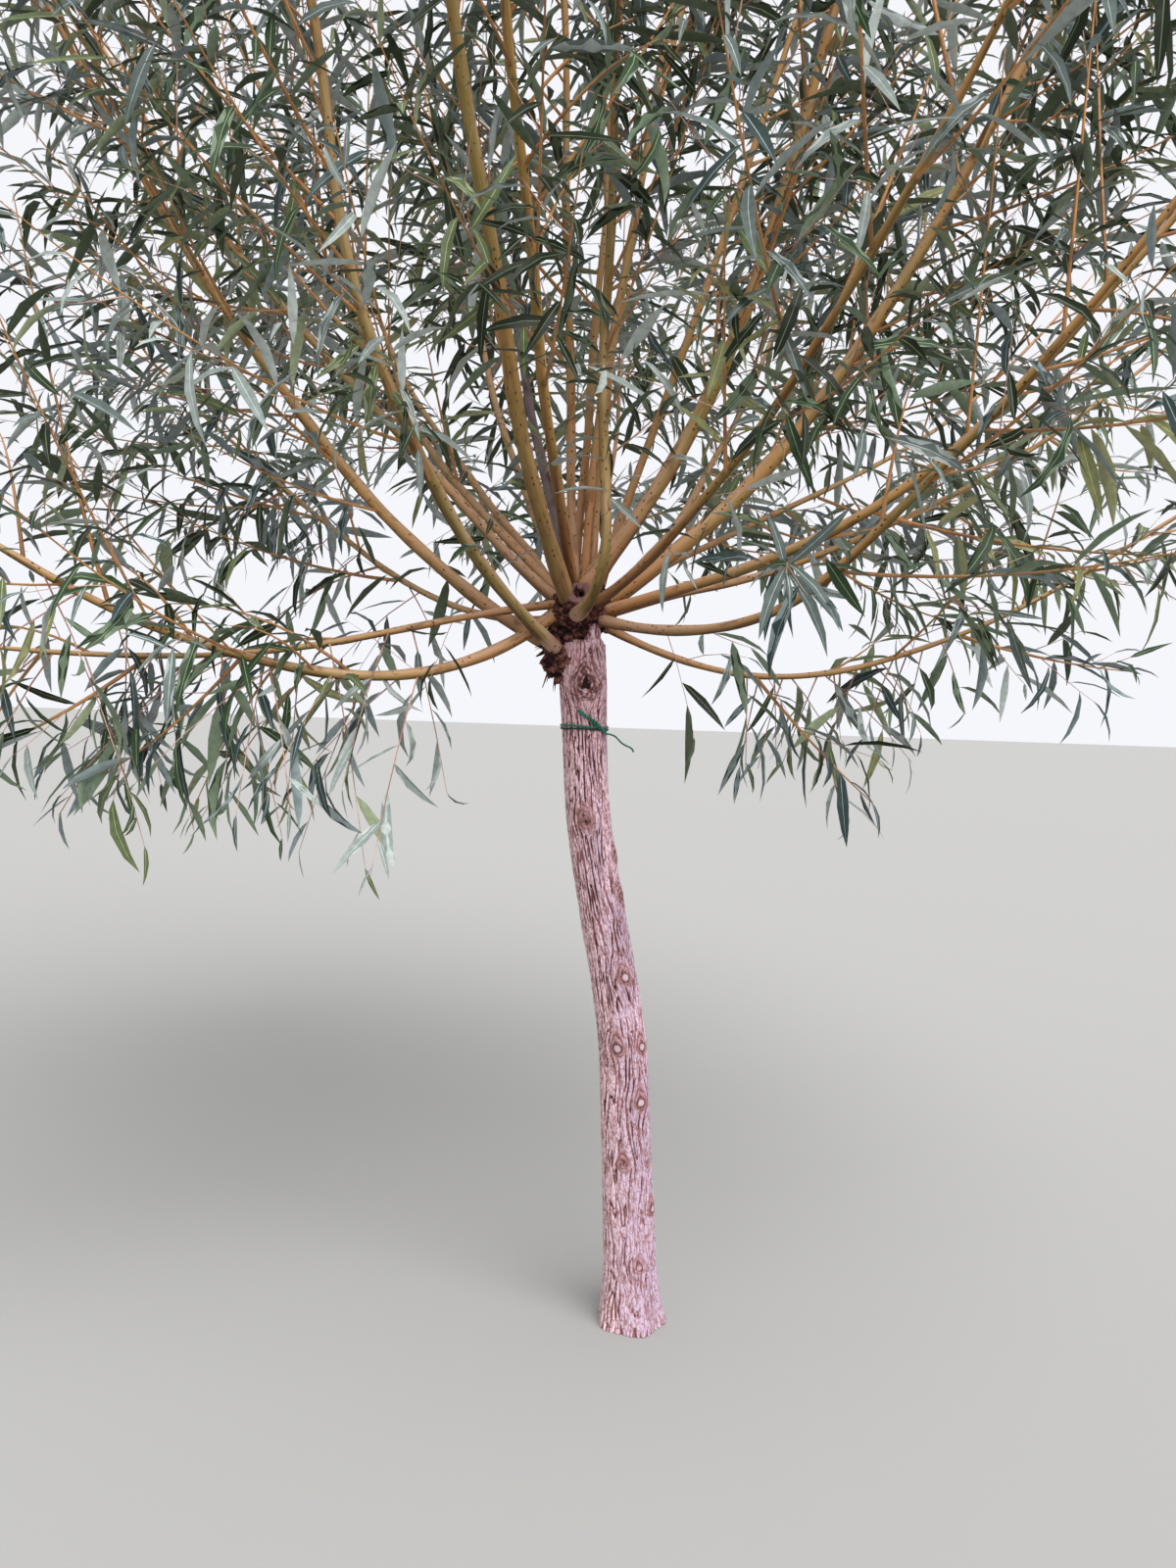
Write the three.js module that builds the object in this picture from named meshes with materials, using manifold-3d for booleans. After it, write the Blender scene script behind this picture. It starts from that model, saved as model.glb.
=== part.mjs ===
// A young pollard willow: a leaning trunk, a knobbed head, and boughs that all rise from the head into a crown.
// Millimetres, +Z up, +X to the right and +Y away from the side it is seen from.
// The origin is the middle of the flat cut under the trunk, at ground level.
import * as THREE from "three";
import { mergeVertices } from "three/addons/utils/BufferGeometryUtils.js";
import Module from "manifold-3d";

const wasm = await Module();
wasm.setup();

const { clamp, degToRad, lerp, smoothstep } = THREE.MathUtils;
const UP = new THREE.Vector3(0, 0, 1);

// Clearance between pieces that rest on each other
const GAP = 0.3;
const SEAT_GAP = 0.45; // measured outwards from the head, whose slanting faces narrow it

// Trunk
const TRUNK_HEIGHT = 1770;
const FOOT_RADIUS = 66;
const NECK_RADIUS = 53;
const NECK_HEIGHT = 1400;
const SHOULDER_SWELL = 5;
const ROOT_FLARE = 20;
const ROOT_FLARE_HEIGHT = 75;
const ROOT_LOBES = 5;
const ROOT_LOBE_DEPTH = 0.3;
const RIDGES = 3; // shallow flutes that wind round the trunk
const RIDGE_DEPTH = 1.1;
const RIDGE_WINDING = 170;
const TRUNK_LEAN = 0.062; // sideways per unit of height, towards -X
const TRUNK_BEND = 78; // further sideways step of the S-bend
const BEND_FROM = 650;
const BEND_TO = 1400;
const TRUNK_SIDES = 15;
const TRUNK_RINGS = 30;

// Pruning scars and knots on the trunk: height, angle round it (-90 is the front), width and relief
const KNOTS = [
  { height: 170, angle: -69, width: 26, depth: 4 },
  { height: 308, angle: -23, width: 26, depth: 7 },
  { height: 433, angle: -99, width: 24, depth: 3 },
  { height: 591, angle: -53, width: 30, depth: 7 },
  { height: 730, angle: -40, width: 28, depth: 6 },
  { height: 729, angle: -104, width: 30, depth: 5 },
  { height: 909, angle: -62, width: 28, depth: 7 },
  { height: 1104, angle: -5, width: 30, depth: 5 },
  { height: 1206, angle: -8, width: 24, depth: 7 },
  { height: 1297, angle: -96, width: 30, depth: 5 },
  { height: 1630, angle: -82, width: 42, depth: 9 },
  { height: 480, angle: 118, width: 28, depth: 6 },
  { height: 860, angle: 70, width: 30, depth: 6 },
  { height: 1010, angle: 162, width: 28, depth: 5 },
  { height: 1390, angle: 95, width: 32, depth: 7 },
];

// Head: the callus that the yearly cuts left, with a burl on its left
const HEAD_HEIGHT = 1800;
const HEAD_RADIUS = 88;
const HEAD_LUMP = 5;
const BURL_RADIUS = 36;
const BURL_ANGLE = -170;
const BURL_DROP = 62;
const BURL_OUT = 52;

// Crown: a round-topped space, squarer below, that the furthest leaves reach
const CROWN_HEIGHT = 3050;
const CROWN_SHIFT = -150;
const CROWN_HALF_WIDTH = 2100;
const CROWN_HALF_HEIGHT = 1780;
const CROWN_SQUARENESS = 3;

// Limbs, each a bough and the stem that carries on from it through its foliage.
// heading is the compass angle it grows towards, root the compass angle of its root where that differs,
// seat the height angle of its root, onBurl whether it roots as far below the head's middle as the burl lies,
// rises how steeply it climbs at RISE_PLACES along it, girth its thickness at the root,
// vigour how near it comes to the crown's edge, bare the length that carries no shoots,
// and weep how much its shoots hang.
const RISE_PLACES = [0, 300, 700, 1200, 1900];
const BARE_LENGTH = 640;
const LIMBS = [
  { heading: 204, seat: 6, rises: [-40, -17, 11, 28, 35], girth: 30, vigour: 1.14, weep: 0.9 },
  { heading: 199, seat: 22, rises: [-9, -14, -10, 4, 14], girth: 20, vigour: 1.18, weep: 0.9 },
  { heading: 225, root: 208, seat: -28, onBurl: true, rises: [30, 42, 59, 80, 74], girth: 32 },
  { heading: 178, seat: -16, onBurl: true, rises: [24, 39, 48, 55, 60], girth: 36 },
  { heading: 149, seat: -8, rises: [-4, 14, 34, 32, 45], girth: 20, weep: 0.4 },
  { heading: 168, seat: 28, rises: [38, 47, 43, 49, 57], girth: 36 },
  { heading: 136, seat: 38, rises: [36, 35, 44, 51, 58], girth: 26 },
  { heading: 127, seat: 12, rises: [46, 36, 37, 48, 56], girth: 25 },
  { heading: 114, seat: 32, rises: [46, 38, 50, 56, 56], girth: 26 },
  { heading: 245, seat: 14, rises: [45, 56, 68, 66, 72], girth: 40 },
  { heading: 117, seat: 56, rises: [52, 60, 62, 63, 60], girth: 31, bare: 1750, dead: true },
  { heading: 86, seat: 8, rises: [10, 20, 34, 44, 52], girth: 26, weep: 0.3 },
  { heading: 156, seat: 74, rises: [82, 88, 86, 88, 82], girth: 25 },
  { heading: 76, root: 125, seat: 60, rises: [76, 78, 80, 81, 80], girth: 24 },
  { heading: 22, seat: 84, rises: [90, 85, 81, 78, 78], girth: 22 },
  { heading: -65, root: -108, seat: 0, rises: [2, 101, 90, 88, 86], girth: 27 },
  { heading: 60, seat: 26, rises: [24, 32, 42, 50, 56], girth: 25 },
  { heading: 39, seat: 60, rises: [88, 86, 81, 80, 74], girth: 23 },
  { heading: 14, seat: 42, rises: [76, 71, 71, 74, 72], girth: 23 },
  { heading: -12, root: -95, seat: 58, rises: [53, 57, 71, 77, 76], girth: 42 },
  { heading: -3, seat: 30, rises: [36, 42, 55, 63, 64], girth: 34 },
  { heading: 11, seat: 37, rises: [35, 42, 54, 60, 62], girth: 28 },
  { heading: 32, seat: 18, rises: [38, 25, 25, 30, 45], girth: 20, weep: 0.3 },
  { heading: -27, seat: 10, rises: [15, 15, 31, 50, 52], girth: 30 },
  { heading: 12, seat: 4, rises: [20, 14, 26, 32, 45], girth: 22, weep: 0.5 },
  { heading: -44, seat: -10, rises: [-13, 1, 36, 45, 52], girth: 26, weep: 0.4 },
  { heading: -5, seat: -22, rises: [-28, -11, 20, 32, 38], girth: 24, vigour: 1.06, bare: 460, weep: 1 },
  { heading: -102, root: -125, seat: 66, rises: [44, 50, 57, 63, 68], girth: 28 },
  { heading: -58, seat: 24, rises: [16, 28, 38, 48, 54], girth: 24, weep: 0.2 },
];
const LIMB_STEP = 25;
const LIMB_TIP_RADIUS = 3.5;
const ROOT_DEPTH = 0.72; // share of the head's radius where a bough starts, before it is cut back to the head
const ROOT_SPACING = 4;
const SPREAD_ROUNDS = 80;
const BOUGH_SIDES = 5;
const BOUGH_STEPS = 5;

// Foliage: shoots along each stem, and leaves that each stand for a spray
const STEM_STEP = 350;
const SHOOT_EVERY = 385;
const WEEPING_CLOSER = 0.4; // share by which a weeping limb's shoots stand closer
const FIRST_SHOOT = 70; // past the bough's end
const LAST_SHOOT = 60; // short of the stem's tip
const SHOOT_TRIES = 7;
const SHORTER_EACH_TRY = 0.9;
const GOLDEN_ANGLE = 137.5;
const SHOOT_SPREAD_LEAST = 36;
const SHOOT_SPREAD_MOST = 56;
const SHOOT_LIFT = 0.35; // how far a shoot bends up over its length, as a share of it
const SHOOT_HANG = -1.1;
const SHOOT_LENGTH_LOW = 560;
const SHOOT_LENGTH_HIGH = 360;
const SHOOT_RADIUS = 5.5;
const SHOOT_TIP_RADIUS = 2;
const LEAF_LENGTH = 360;
const LEAF_WIDTH = 76;
const LEAF_THICKNESS = 10;
const LEAF_WIDEST = 0.42; // share of the length where the blade is widest
const SIDE_LEAF_PLACES = [0.5]; // share of the shoot's length
const TIP_LEAF_PLACE = 0.88;
const LEAF_ANGLE = 34;
const LEAF_ROLL = 40;
const STEM_TIP_LEAF = 390;
const STEM_TIP_SINK = 30;
const SPACE_MARGIN = 26; // how much nearer its own stem than any other limb a leaf has to be
const BOUGH_CLEARANCE = 30;

// Tie: a thin green garden wire round the trunk, with its twisted end
const TIE_HEIGHT = 1524;
const TIE_THICKNESS = 3;
const TIE_TILT = 3;
const TIE_END = [
  { angle: -104, height: 1566 },
  { angle: -84, height: 1552 },
  { angle: -62, height: 1538 },
  { angle: -44, height: 1523 },
];

const BARK = { color: 0x9d8477, roughness: 0.95, metalness: 0 };
const YOUNG_BARK = { color: 0xa8793f, roughness: 0.6, metalness: 0 };
const DEAD_BARK = { color: 0x857a78, roughness: 0.85, metalness: 0 };
const LEAVES = { color: 0x46573c, roughness: 0.55, metalness: 0 };
const WIRE = { color: 0x2c5c48, roughness: 0.4, metalness: 0 };

// The same number between 0 and 1 each time for the same limb, shoot and use
function chance(limb, shoot, use) {
  const wave = Math.sin(limb * 12.9898 + shoot * 78.233 + use * 37.719) * 43758.5453;
  return wave - Math.floor(wave);
}

// Unit vector at a compass heading and a height angle, in degrees
function towards(heading, height) {
  const level = Math.cos(degToRad(height));
  return new THREE.Vector3(
    level * Math.cos(degToRad(heading)),
    level * Math.sin(degToRad(heading)),
    Math.sin(degToRad(height)),
  );
}

function reshape(geometry, place) {
  const spots = geometry.getAttribute("position");
  for (let i = 0; i < spots.count; i++) {
    const spot = place(new THREE.Vector3().fromBufferAttribute(spots, i));
    spots.setXYZ(i, spot.x, spot.y, spot.z);
  }
  return geometry;
}

function solidOf(geometry) {
  geometry.deleteAttribute("normal");
  geometry.deleteAttribute("uv");
  const merged = mergeVertices(geometry.index ? geometry : geometry.clone(), 1e-3);
  return new wasm.Manifold(
    new wasm.Mesh({
      numProp: 3,
      vertProperties: new Float32Array(merged.getAttribute("position").array),
      triVerts: new Uint32Array(merged.index.array),
    }),
  );
}

function meshOf(name, solid, finish) {
  const { numProp, vertProperties, triVerts } = solid.getMesh();
  const corners = new Float32Array(triVerts.length * 3);
  triVerts.forEach((corner, i) => {
    corners.set(vertProperties.subarray(corner * numProp, corner * numProp + 3), i * 3);
  });
  const geometry = new THREE.BufferGeometry();
  geometry.setAttribute("position", new THREE.BufferAttribute(corners, 3));
  geometry.computeVertexNormals();
  const mesh = new THREE.Mesh(geometry, new THREE.MeshStandardMaterial(finish));
  mesh.name = name;
  return mesh;
}

// The largest body of a solid, without the scraps that a join can leave
function mainBody(solid) {
  const bodies = solid.decompose();
  return bodies.reduce((best, body) => (body.volume() > best.volume() ? body : best));
}

// A rod of unit section carried along a path: place gives the point, way along and side at each share of it
function rodAlong(place, radiusAt, sides, steps) {
  const rod = new THREE.CylinderGeometry(1, 1, 1, sides, steps).rotateX(Math.PI / 2);
  return reshape(rod, (spot) => {
    const share = spot.z + 0.5;
    const { point, along, side } = place(share);
    const over = along.clone().cross(side);
    const radius = radiusAt(share);
    return point
      .clone()
      .addScaledVector(side, spot.x * radius)
      .addScaledVector(over, spot.y * radius);
  });
}

// Trunk and head

// Sideways place of the trunk's middle: a straight lean and one S-bend
function trunkMiddle(height) {
  return -TRUNK_LEAN * height - TRUNK_BEND * smoothstep(height, BEND_FROM, BEND_TO);
}

function trunkRadius(height, angle) {
  const taper = lerp(FOOT_RADIUS, NECK_RADIUS, clamp(height / NECK_HEIGHT, 0, 1));
  const lobes = 1 + ROOT_LOBE_DEPTH * Math.cos(ROOT_LOBES * angle);
  const flare = ROOT_FLARE * lobes * Math.exp(-height / ROOT_FLARE_HEIGHT);
  const shoulder = SHOULDER_SWELL * smoothstep(height, NECK_HEIGHT, TRUNK_HEIGHT);
  const ridges = RIDGE_DEPTH * Math.sin(RIDGES * angle + height / RIDGE_WINDING);
  const knots = KNOTS.map((knot) => {
    const round = Math.atan2(Math.sin(angle - degToRad(knot.angle)), Math.cos(angle - degToRad(knot.angle)));
    const away = Math.hypot(round * taper, height - knot.height) / knot.width;
    return knot.depth * Math.exp(-away * away);
  });
  return taper + flare + shoulder + ridges + Math.max(...knots);
}

const HEAD = new THREE.Vector3(trunkMiddle(HEAD_HEIGHT), 0, HEAD_HEIGHT);

// The trunk with its head and burl, thickened all over by extra
function trunkSolid(extra) {
  const stock = new THREE.CylinderGeometry(1, 1, 1, TRUNK_SIDES, TRUNK_RINGS).rotateX(Math.PI / 2);
  const trunk = reshape(stock, (spot) => {
    const height = (spot.z + 0.5) * TRUNK_HEIGHT;
    const reach = Math.hypot(spot.x, spot.y) > 0.5 ? 1 : 0;
    const angle = Math.atan2(spot.y, spot.x);
    const radius = reach * (trunkRadius(height, angle) + extra);
    return new THREE.Vector3(
      trunkMiddle(height) + radius * Math.cos(angle),
      radius * Math.sin(angle),
      height,
    );
  });
  const head = reshape(new THREE.SphereGeometry(1, 14, 9), (spot) => {
    const lump = HEAD_LUMP * Math.sin(4 * spot.x + 1) * Math.cos(5 * spot.y) * Math.sin(3 * spot.z + 2);
    return spot.multiplyScalar(HEAD_RADIUS + lump + extra).add(HEAD);
  });
  const burlPlace = towards(BURL_ANGLE, 0).multiplyScalar(BURL_OUT).add(HEAD);
  burlPlace.z -= BURL_DROP;
  const burl = reshape(new THREE.SphereGeometry(BURL_RADIUS + extra, 10, 6), (spot) => spot.add(burlPlace));
  return solidOf(trunk).add(solidOf(head)).add(solidOf(burl));
}

// Limb routes

// Roots are pushed apart over the head until none stands on its neighbour
function spreadSeats() {
  const seats = LIMBS.map(({ heading, root, seat }) => towards(root ?? heading, seat));
  for (let round = 0; round < SPREAD_ROUNDS; round++)
    seats.forEach((one, i) =>
      seats.slice(i + 1).forEach((other, k) => {
        if (LIMBS[i].onBurl !== LIMBS[i + 1 + k].onBurl) return;
        const wanted = (LIMBS[i].girth + LIMBS[i + 1 + k].girth) / 2 + ROOT_SPACING;
        const apart = one.clone().sub(other);
        const short = wanted / HEAD_RADIUS - apart.length();
        if (short <= 0) return;
        apart.setLength(short / 2);
        one.add(apart).normalize();
        other.sub(apart).normalize();
      }),
    );
  return seats;
}

function riseAt(rises, distance) {
  const last = RISE_PLACES.length - 1;
  const next = RISE_PLACES.findIndex((place) => place > distance);
  if (next < 0) return rises[last];
  const share = (distance - RISE_PLACES[next - 1]) / (RISE_PLACES[next] - RISE_PLACES[next - 1]);
  return lerp(rises[next - 1], rises[next], share);
}

// 1 on the crown's edge, less inside it
function crownShare(point) {
  const out = Math.hypot(point.x - CROWN_SHIFT, point.y) / CROWN_HALF_WIDTH;
  const up = Math.abs(point.z - CROWN_HEIGHT) / CROWN_HALF_HEIGHT;
  const power = point.z < CROWN_HEIGHT ? CROWN_SQUARENESS : 2;
  return Math.pow(Math.pow(out, power) + Math.pow(up, power), 1 / power);
}

// A limb's points from its root until its tip leaf would touch the crown's edge
function routeOf(limb, seat) {
  const start = seat.clone().multiplyScalar(ROOT_DEPTH * HEAD_RADIUS).add(HEAD);
  if (limb.onBurl) start.z -= BURL_DROP;
  const points = [start];
  const vigour = limb.vigour ?? 1;
  const edgeLeft = LEAF_LENGTH / CROWN_HALF_WIDTH;
  for (;;) {
    const here = points.at(-1);
    const distance = (points.length - 0.5) * LIMB_STEP;
    const grown = distance > 2 * BARE_LENGTH && crownShare(here) > vigour * (1 - edgeLeft);
    if (grown || (limb.dead && distance > limb.bare)) return points;
    points.push(here.clone().addScaledVector(towards(limb.heading, riseAt(limb.rises, distance)), LIMB_STEP));
  }
}

// Place on a limb at a distance from its root, with the way along it and its level side
function onLimb(limb, distance) {
  const spot = clamp(distance / LIMB_STEP, 0, limb.points.length - 1.001);
  const before = Math.floor(spot);
  const along = towards(limb.heading, riseAt(limb.rises, distance));
  return {
    point: limb.points[before].clone().lerp(limb.points[before + 1], spot - before),
    along,
    side: towards(limb.heading - 90, 0),
  };
}

function limbRadius(limb, distance) {
  return lerp(limb.girth / 2, LIMB_TIP_RADIUS, distance / limb.reach);
}

const limbs = spreadSeats().map((seat, i) => {
  const points = routeOf(LIMBS[i], seat);
  const reach = (points.length - 1) * LIMB_STEP;
  return { bare: BARE_LENGTH, weep: 0, ...LIMBS[i], number: i + 1, points, reach };
});

// Part of a limb, from one distance to another, as a tapering rod
function limbRod(limb, from, to, sides, steps) {
  return rodAlong(
    (share) => onLimb(limb, lerp(from, to, share)),
    (share) => limbRadius(limb, lerp(from, to, share)),
    sides,
    steps,
  );
}

function bough(limb, headSpace) {
  const end = limb.dead ? limb.reach : limb.bare;
  const steps = Math.round((BOUGH_STEPS * end) / BARE_LENGTH);
  return mainBody(solidOf(limbRod(limb, 0, end, BOUGH_SIDES, steps)).subtract(headSpace));
}

// Foliage

// Shortest distance from a point to a limb's points, counted from one place on it to another
function distanceTo(limb, point, from = 0, to = Infinity) {
  let least = Infinity;
  for (let i = Math.ceil(from / LIMB_STEP); i < limb.points.length && i * LIMB_STEP <= to; i++)
    least = Math.min(least, point.distanceToSquared(limb.points[i]));
  return Math.sqrt(least);
}

// Whether a point lies in the space that belongs to a limb's foliage
function inOwnSpace(limb, point) {
  if (crownShare(point) > Math.max(limb.vigour ?? 1, 1)) return false;
  if (distanceTo(limb, point, 0, limb.bare) < limb.girth / 2 + BOUGH_CLEARANCE) return false;
  const own = distanceTo(limb, point, limb.bare);
  return limbs.every((other) => other === limb || distanceTo(other, point) > own + SPACE_MARGIN);
}

function shootsOn(limb) {
  return Math.round((limb.reach - limb.bare) / (SHOOT_EVERY * (1 - WEEPING_CLOSER * limb.weep)));
}

// Shoots branch off all round the stem, the lower ones longer, and bend up to the light or hang down
function shootOf(limb, order, attempt) {
  const place = (order + 0.5) / shootsOn(limb);
  const distance = lerp(limb.bare + FIRST_SHOOT, limb.reach - LAST_SHOOT, place);
  const { point, along, side } = onLimb(limb, distance);
  const round = degToRad(GOLDEN_ANGLE * (order + attempt * 2) + 360 * chance(limb.number, 0, 1));
  const out = side
    .clone()
    .multiplyScalar(Math.cos(round))
    .addScaledVector(along.clone().cross(side), Math.sin(round));
  const spread = degToRad(lerp(SHOOT_SPREAD_LEAST, SHOOT_SPREAD_MOST, chance(limb.number, order, 2)));
  const start = along.clone().multiplyScalar(Math.cos(spread)).addScaledVector(out, Math.sin(spread));
  const grown = lerp(0.85, 1.15, chance(limb.number, order, 3)) * Math.pow(SHORTER_EACH_TRY, attempt);
  const length = lerp(SHOOT_LENGTH_LOW, SHOOT_LENGTH_HIGH, place) * grown;
  const lift = limb.weep > chance(limb.number, order, 4) ? SHOOT_HANG : SHOOT_LIFT;
  const pathAt = (share) => ({
    point: point
      .clone()
      .addScaledVector(start, length * share)
      .addScaledVector(UP, (lift * length * share * share) / 2),
    along: start
      .clone()
      .addScaledVector(UP, lift * share)
      .normalize(),
  });
  const reference = new THREE.Vector3().crossVectors(start, out).normalize();
  return {
    place: (share) => {
      const here = pathAt(share);
      const sideways = reference.clone().addScaledVector(here.along, -reference.dot(here.along)).normalize();
      return { ...here, side: sideways };
    },
  };
}

// A blade with eight faces: its root on the shoot, its widest part nearer the root than the tip
function leafAt(root, along, across, length) {
  const over = along.clone().cross(across);
  const spotAt = (x, y, z) => {
    const place = x < -0.5 ? 0 : x > 0.5 ? 1 : LEAF_WIDEST;
    return root
      .clone()
      .addScaledVector(along, place * length)
      .addScaledVector(across, (y * LEAF_WIDTH) / 2)
      .addScaledVector(over, (z * LEAF_THICKNESS) / 2);
  };
  return {
    blade: reshape(new THREE.OctahedronGeometry(1), (spot) => spotAt(spot.x, spot.y, spot.z)),
    edge: [
      spotAt(0, 1, 0),
      spotAt(0, -1, 0),
      root.clone().addScaledVector(along, 0.7 * length),
      spotAt(1, 0, 0),
    ],
  };
}

// The leaves of one shoot, alternately to either side and one at its tip
function leavesOn(limb, shoot, order) {
  const leaves = [];
  [...SIDE_LEAF_PLACES, TIP_LEAF_PLACE].forEach((place, k) => {
    const { point, along, side } = shoot.place(place);
    for (const flip of k % 2 ? [1, -1] : [-1, 1]) {
      const turn = k < SIDE_LEAF_PLACES.length ? degToRad(LEAF_ANGLE * flip) : 0;
      const roll = degToRad(lerp(-LEAF_ROLL, LEAF_ROLL, chance(limb.number, order, 5 + k)));
      const way = along.clone().applyAxisAngle(along.clone().cross(side).applyAxisAngle(along, roll), turn);
      const level = new THREE.Vector3().crossVectors(way, UP);
      const across = (level.length() > 0.2 ? level : side.clone()).normalize().applyAxisAngle(way, roll);
      const size = LEAF_LENGTH * lerp(0.88, 1.05, chance(limb.number, order, 8 + k));
      const leaf = leafAt(point, way, across, size);
      if (!leaf.edge.every((spot) => inOwnSpace(limb, spot))) continue;
      leaves.push(leaf.blade);
      break;
    }
  });
  return leaves;
}

function foliage(limb) {
  let mass = solidOf(limbRod(limb, limb.bare + GAP, limb.reach, 3, Math.round(limb.reach / STEM_STEP)));
  const tip = onLimb(limb, limb.reach - STEM_TIP_SINK);
  mass = mass.add(solidOf(leafAt(tip.point, tip.along, tip.side, STEM_TIP_LEAF).blade));
  for (let order = 0; order < shootsOn(limb); order++)
    for (let attempt = 0; attempt < SHOOT_TRIES; attempt++) {
      const shoot = shootOf(limb, order, attempt);
      const spots = [0.35, 0.55, 0.75, 1].map((share) => shoot.place(share).point);
      if (!spots.every((spot) => inOwnSpace(limb, spot))) continue;
      const leaves = leavesOn(limb, shoot, order);
      if (leaves.length < 2 && attempt < SHOOT_TRIES - 1) continue;
      const radiusAt = (share) => lerp(SHOOT_RADIUS, SHOOT_TIP_RADIUS, share);
      mass = mass.add(solidOf(rodAlong(shoot.place, radiusAt, 3, 2)));
      leaves.forEach((blade) => {
        mass = mass.add(solidOf(blade));
      });
      break;
    }
  return mainBody(mass);
}

// Tie

function tieSolid(trunkSpace) {
  const slab = new THREE.BoxGeometry(4 * FOOT_RADIUS, 4 * FOOT_RADIUS, TIE_THICKNESS)
    .rotateY(degToRad(TIE_TILT))
    .translate(trunkMiddle(TIE_HEIGHT), 0, TIE_HEIGHT);
  const spots = TIE_END.map(({ angle, height }) => {
    const round = degToRad(angle);
    const radius = trunkRadius(height, round) + GAP + TIE_THICKNESS;
    return new THREE.Vector3(
      trunkMiddle(height) + radius * Math.cos(round),
      radius * Math.sin(round),
      height,
    );
  });
  const route = new THREE.CatmullRomCurve3(spots);
  const end = rodAlong(
    (share) => {
      const along = route.getTangent(share);
      const side = new THREE.Vector3().crossVectors(along, UP).normalize();
      return { point: route.getPoint(share), along, side };
    },
    () => TIE_THICKNESS * 0.8,
    6,
    8,
  );
  const ring = trunkSolid(GAP + TIE_THICKNESS).intersect(solidOf(slab));
  return mainBody(ring.add(solidOf(end)).subtract(trunkSpace));
}

const willow = new THREE.Group();
const trunkSpace = trunkSolid(SEAT_GAP);
willow.add(meshOf("trunk", trunkSolid(0), BARK));
willow.add(meshOf("trunk_tie", tieSolid(trunkSpace), WIRE));
limbs.forEach((limb) => {
  const label = String(limb.number).padStart(2, "0");
  willow.add(meshOf("bough_" + label, bough(limb, trunkSpace), limb.dead ? DEAD_BARK : YOUNG_BARK));
  if (!limb.dead) willow.add(meshOf("foliage_" + label, foliage(limb), LEAVES));
});

export default willow;
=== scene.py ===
"""A young pollard willow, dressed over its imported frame.

It has a barked trunk, a callused head, boughs, twigs and leaves. Metres, +Z up. The origin is the middle of
the flat cut under the trunk.
"""

import math
from dataclasses import dataclass
from functools import lru_cache, partial

import bpy
import numpy as np
from bpy.props import FloatProperty, FloatVectorProperty, IntProperty, PointerProperty
from bpy.types import Operator, Panel, PropertyGroup
from mathutils import Matrix, Vector


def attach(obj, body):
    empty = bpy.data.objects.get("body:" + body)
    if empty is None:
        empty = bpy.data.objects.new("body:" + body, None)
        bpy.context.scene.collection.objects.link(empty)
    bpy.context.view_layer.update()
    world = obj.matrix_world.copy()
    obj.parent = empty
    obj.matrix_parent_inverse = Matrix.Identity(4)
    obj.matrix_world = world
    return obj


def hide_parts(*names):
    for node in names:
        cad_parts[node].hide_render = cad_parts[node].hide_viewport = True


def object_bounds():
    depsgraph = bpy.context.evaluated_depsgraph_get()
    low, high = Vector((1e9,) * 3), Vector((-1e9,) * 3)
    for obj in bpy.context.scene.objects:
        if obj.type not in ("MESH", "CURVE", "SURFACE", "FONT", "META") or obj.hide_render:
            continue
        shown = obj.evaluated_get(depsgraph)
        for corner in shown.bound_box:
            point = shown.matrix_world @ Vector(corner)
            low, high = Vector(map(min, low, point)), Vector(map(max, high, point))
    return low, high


bl_info = {
    "name": "Pollard willow",
    "version": (1, 0, 0),
    "blender": (4, 5, 0),
    "location": "3D View > Sidebar > Willow",
    "description": "Bark, boughs, twigs and leaves of a young pollard willow",
    "category": "Object",
}

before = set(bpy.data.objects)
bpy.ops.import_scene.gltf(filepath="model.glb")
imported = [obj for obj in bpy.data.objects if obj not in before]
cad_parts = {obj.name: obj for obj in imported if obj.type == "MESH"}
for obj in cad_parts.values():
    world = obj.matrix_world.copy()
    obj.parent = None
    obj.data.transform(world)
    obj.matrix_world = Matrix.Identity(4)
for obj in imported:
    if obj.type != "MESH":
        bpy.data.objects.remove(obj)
CAD_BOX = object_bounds()

BODY = "root"
UP = np.array([0.0, 0.0, 1.0])

# Trunk
TRUNK_HEIGHT = 1.77
TRUNK_EDGE = 1.738
TRUNK_TOP = 1.73
FOOT_RADIUS = 0.066
NECK_RADIUS = 0.053
NECK_HEIGHT = 1.4
SHOULDER_SWELL = 0.005
ROOT_FLARE = 0.020
ROOT_FLARE_HEIGHT = 0.075
ROOT_LOBES = 5
ROOT_LOBE_DEPTH = 0.3
RIDGES = 3
RIDGE_DEPTH = 0.0011
RIDGE_WINDING = 0.170
TRUNK_LEAN = 0.062
TRUNK_BEND = 0.078
BEND_FROM = 0.65
BEND_TO = 1.4
EDGE_ROUGHNESS = 0.008
STRIP_HEADING = -52
STRIP_HEIGHTS = (1.69, 1.75)
STRIP_RISE = 0.056
SMOOTH_HEADING = -118
SMOOTH_HEIGHTS = (1.60, 1.70)
GREY_FOOT_PAINTED_LIGHT_HEIGHTS = (0.3, 1.45)
FLAT_FOOT_HEIGHTS = (0.1, 0.7)
NECK_HEIGHTS = (1.35, 1.6)
TRUNK_ROWS = 500
TRUNK_COLUMNS = 176

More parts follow.
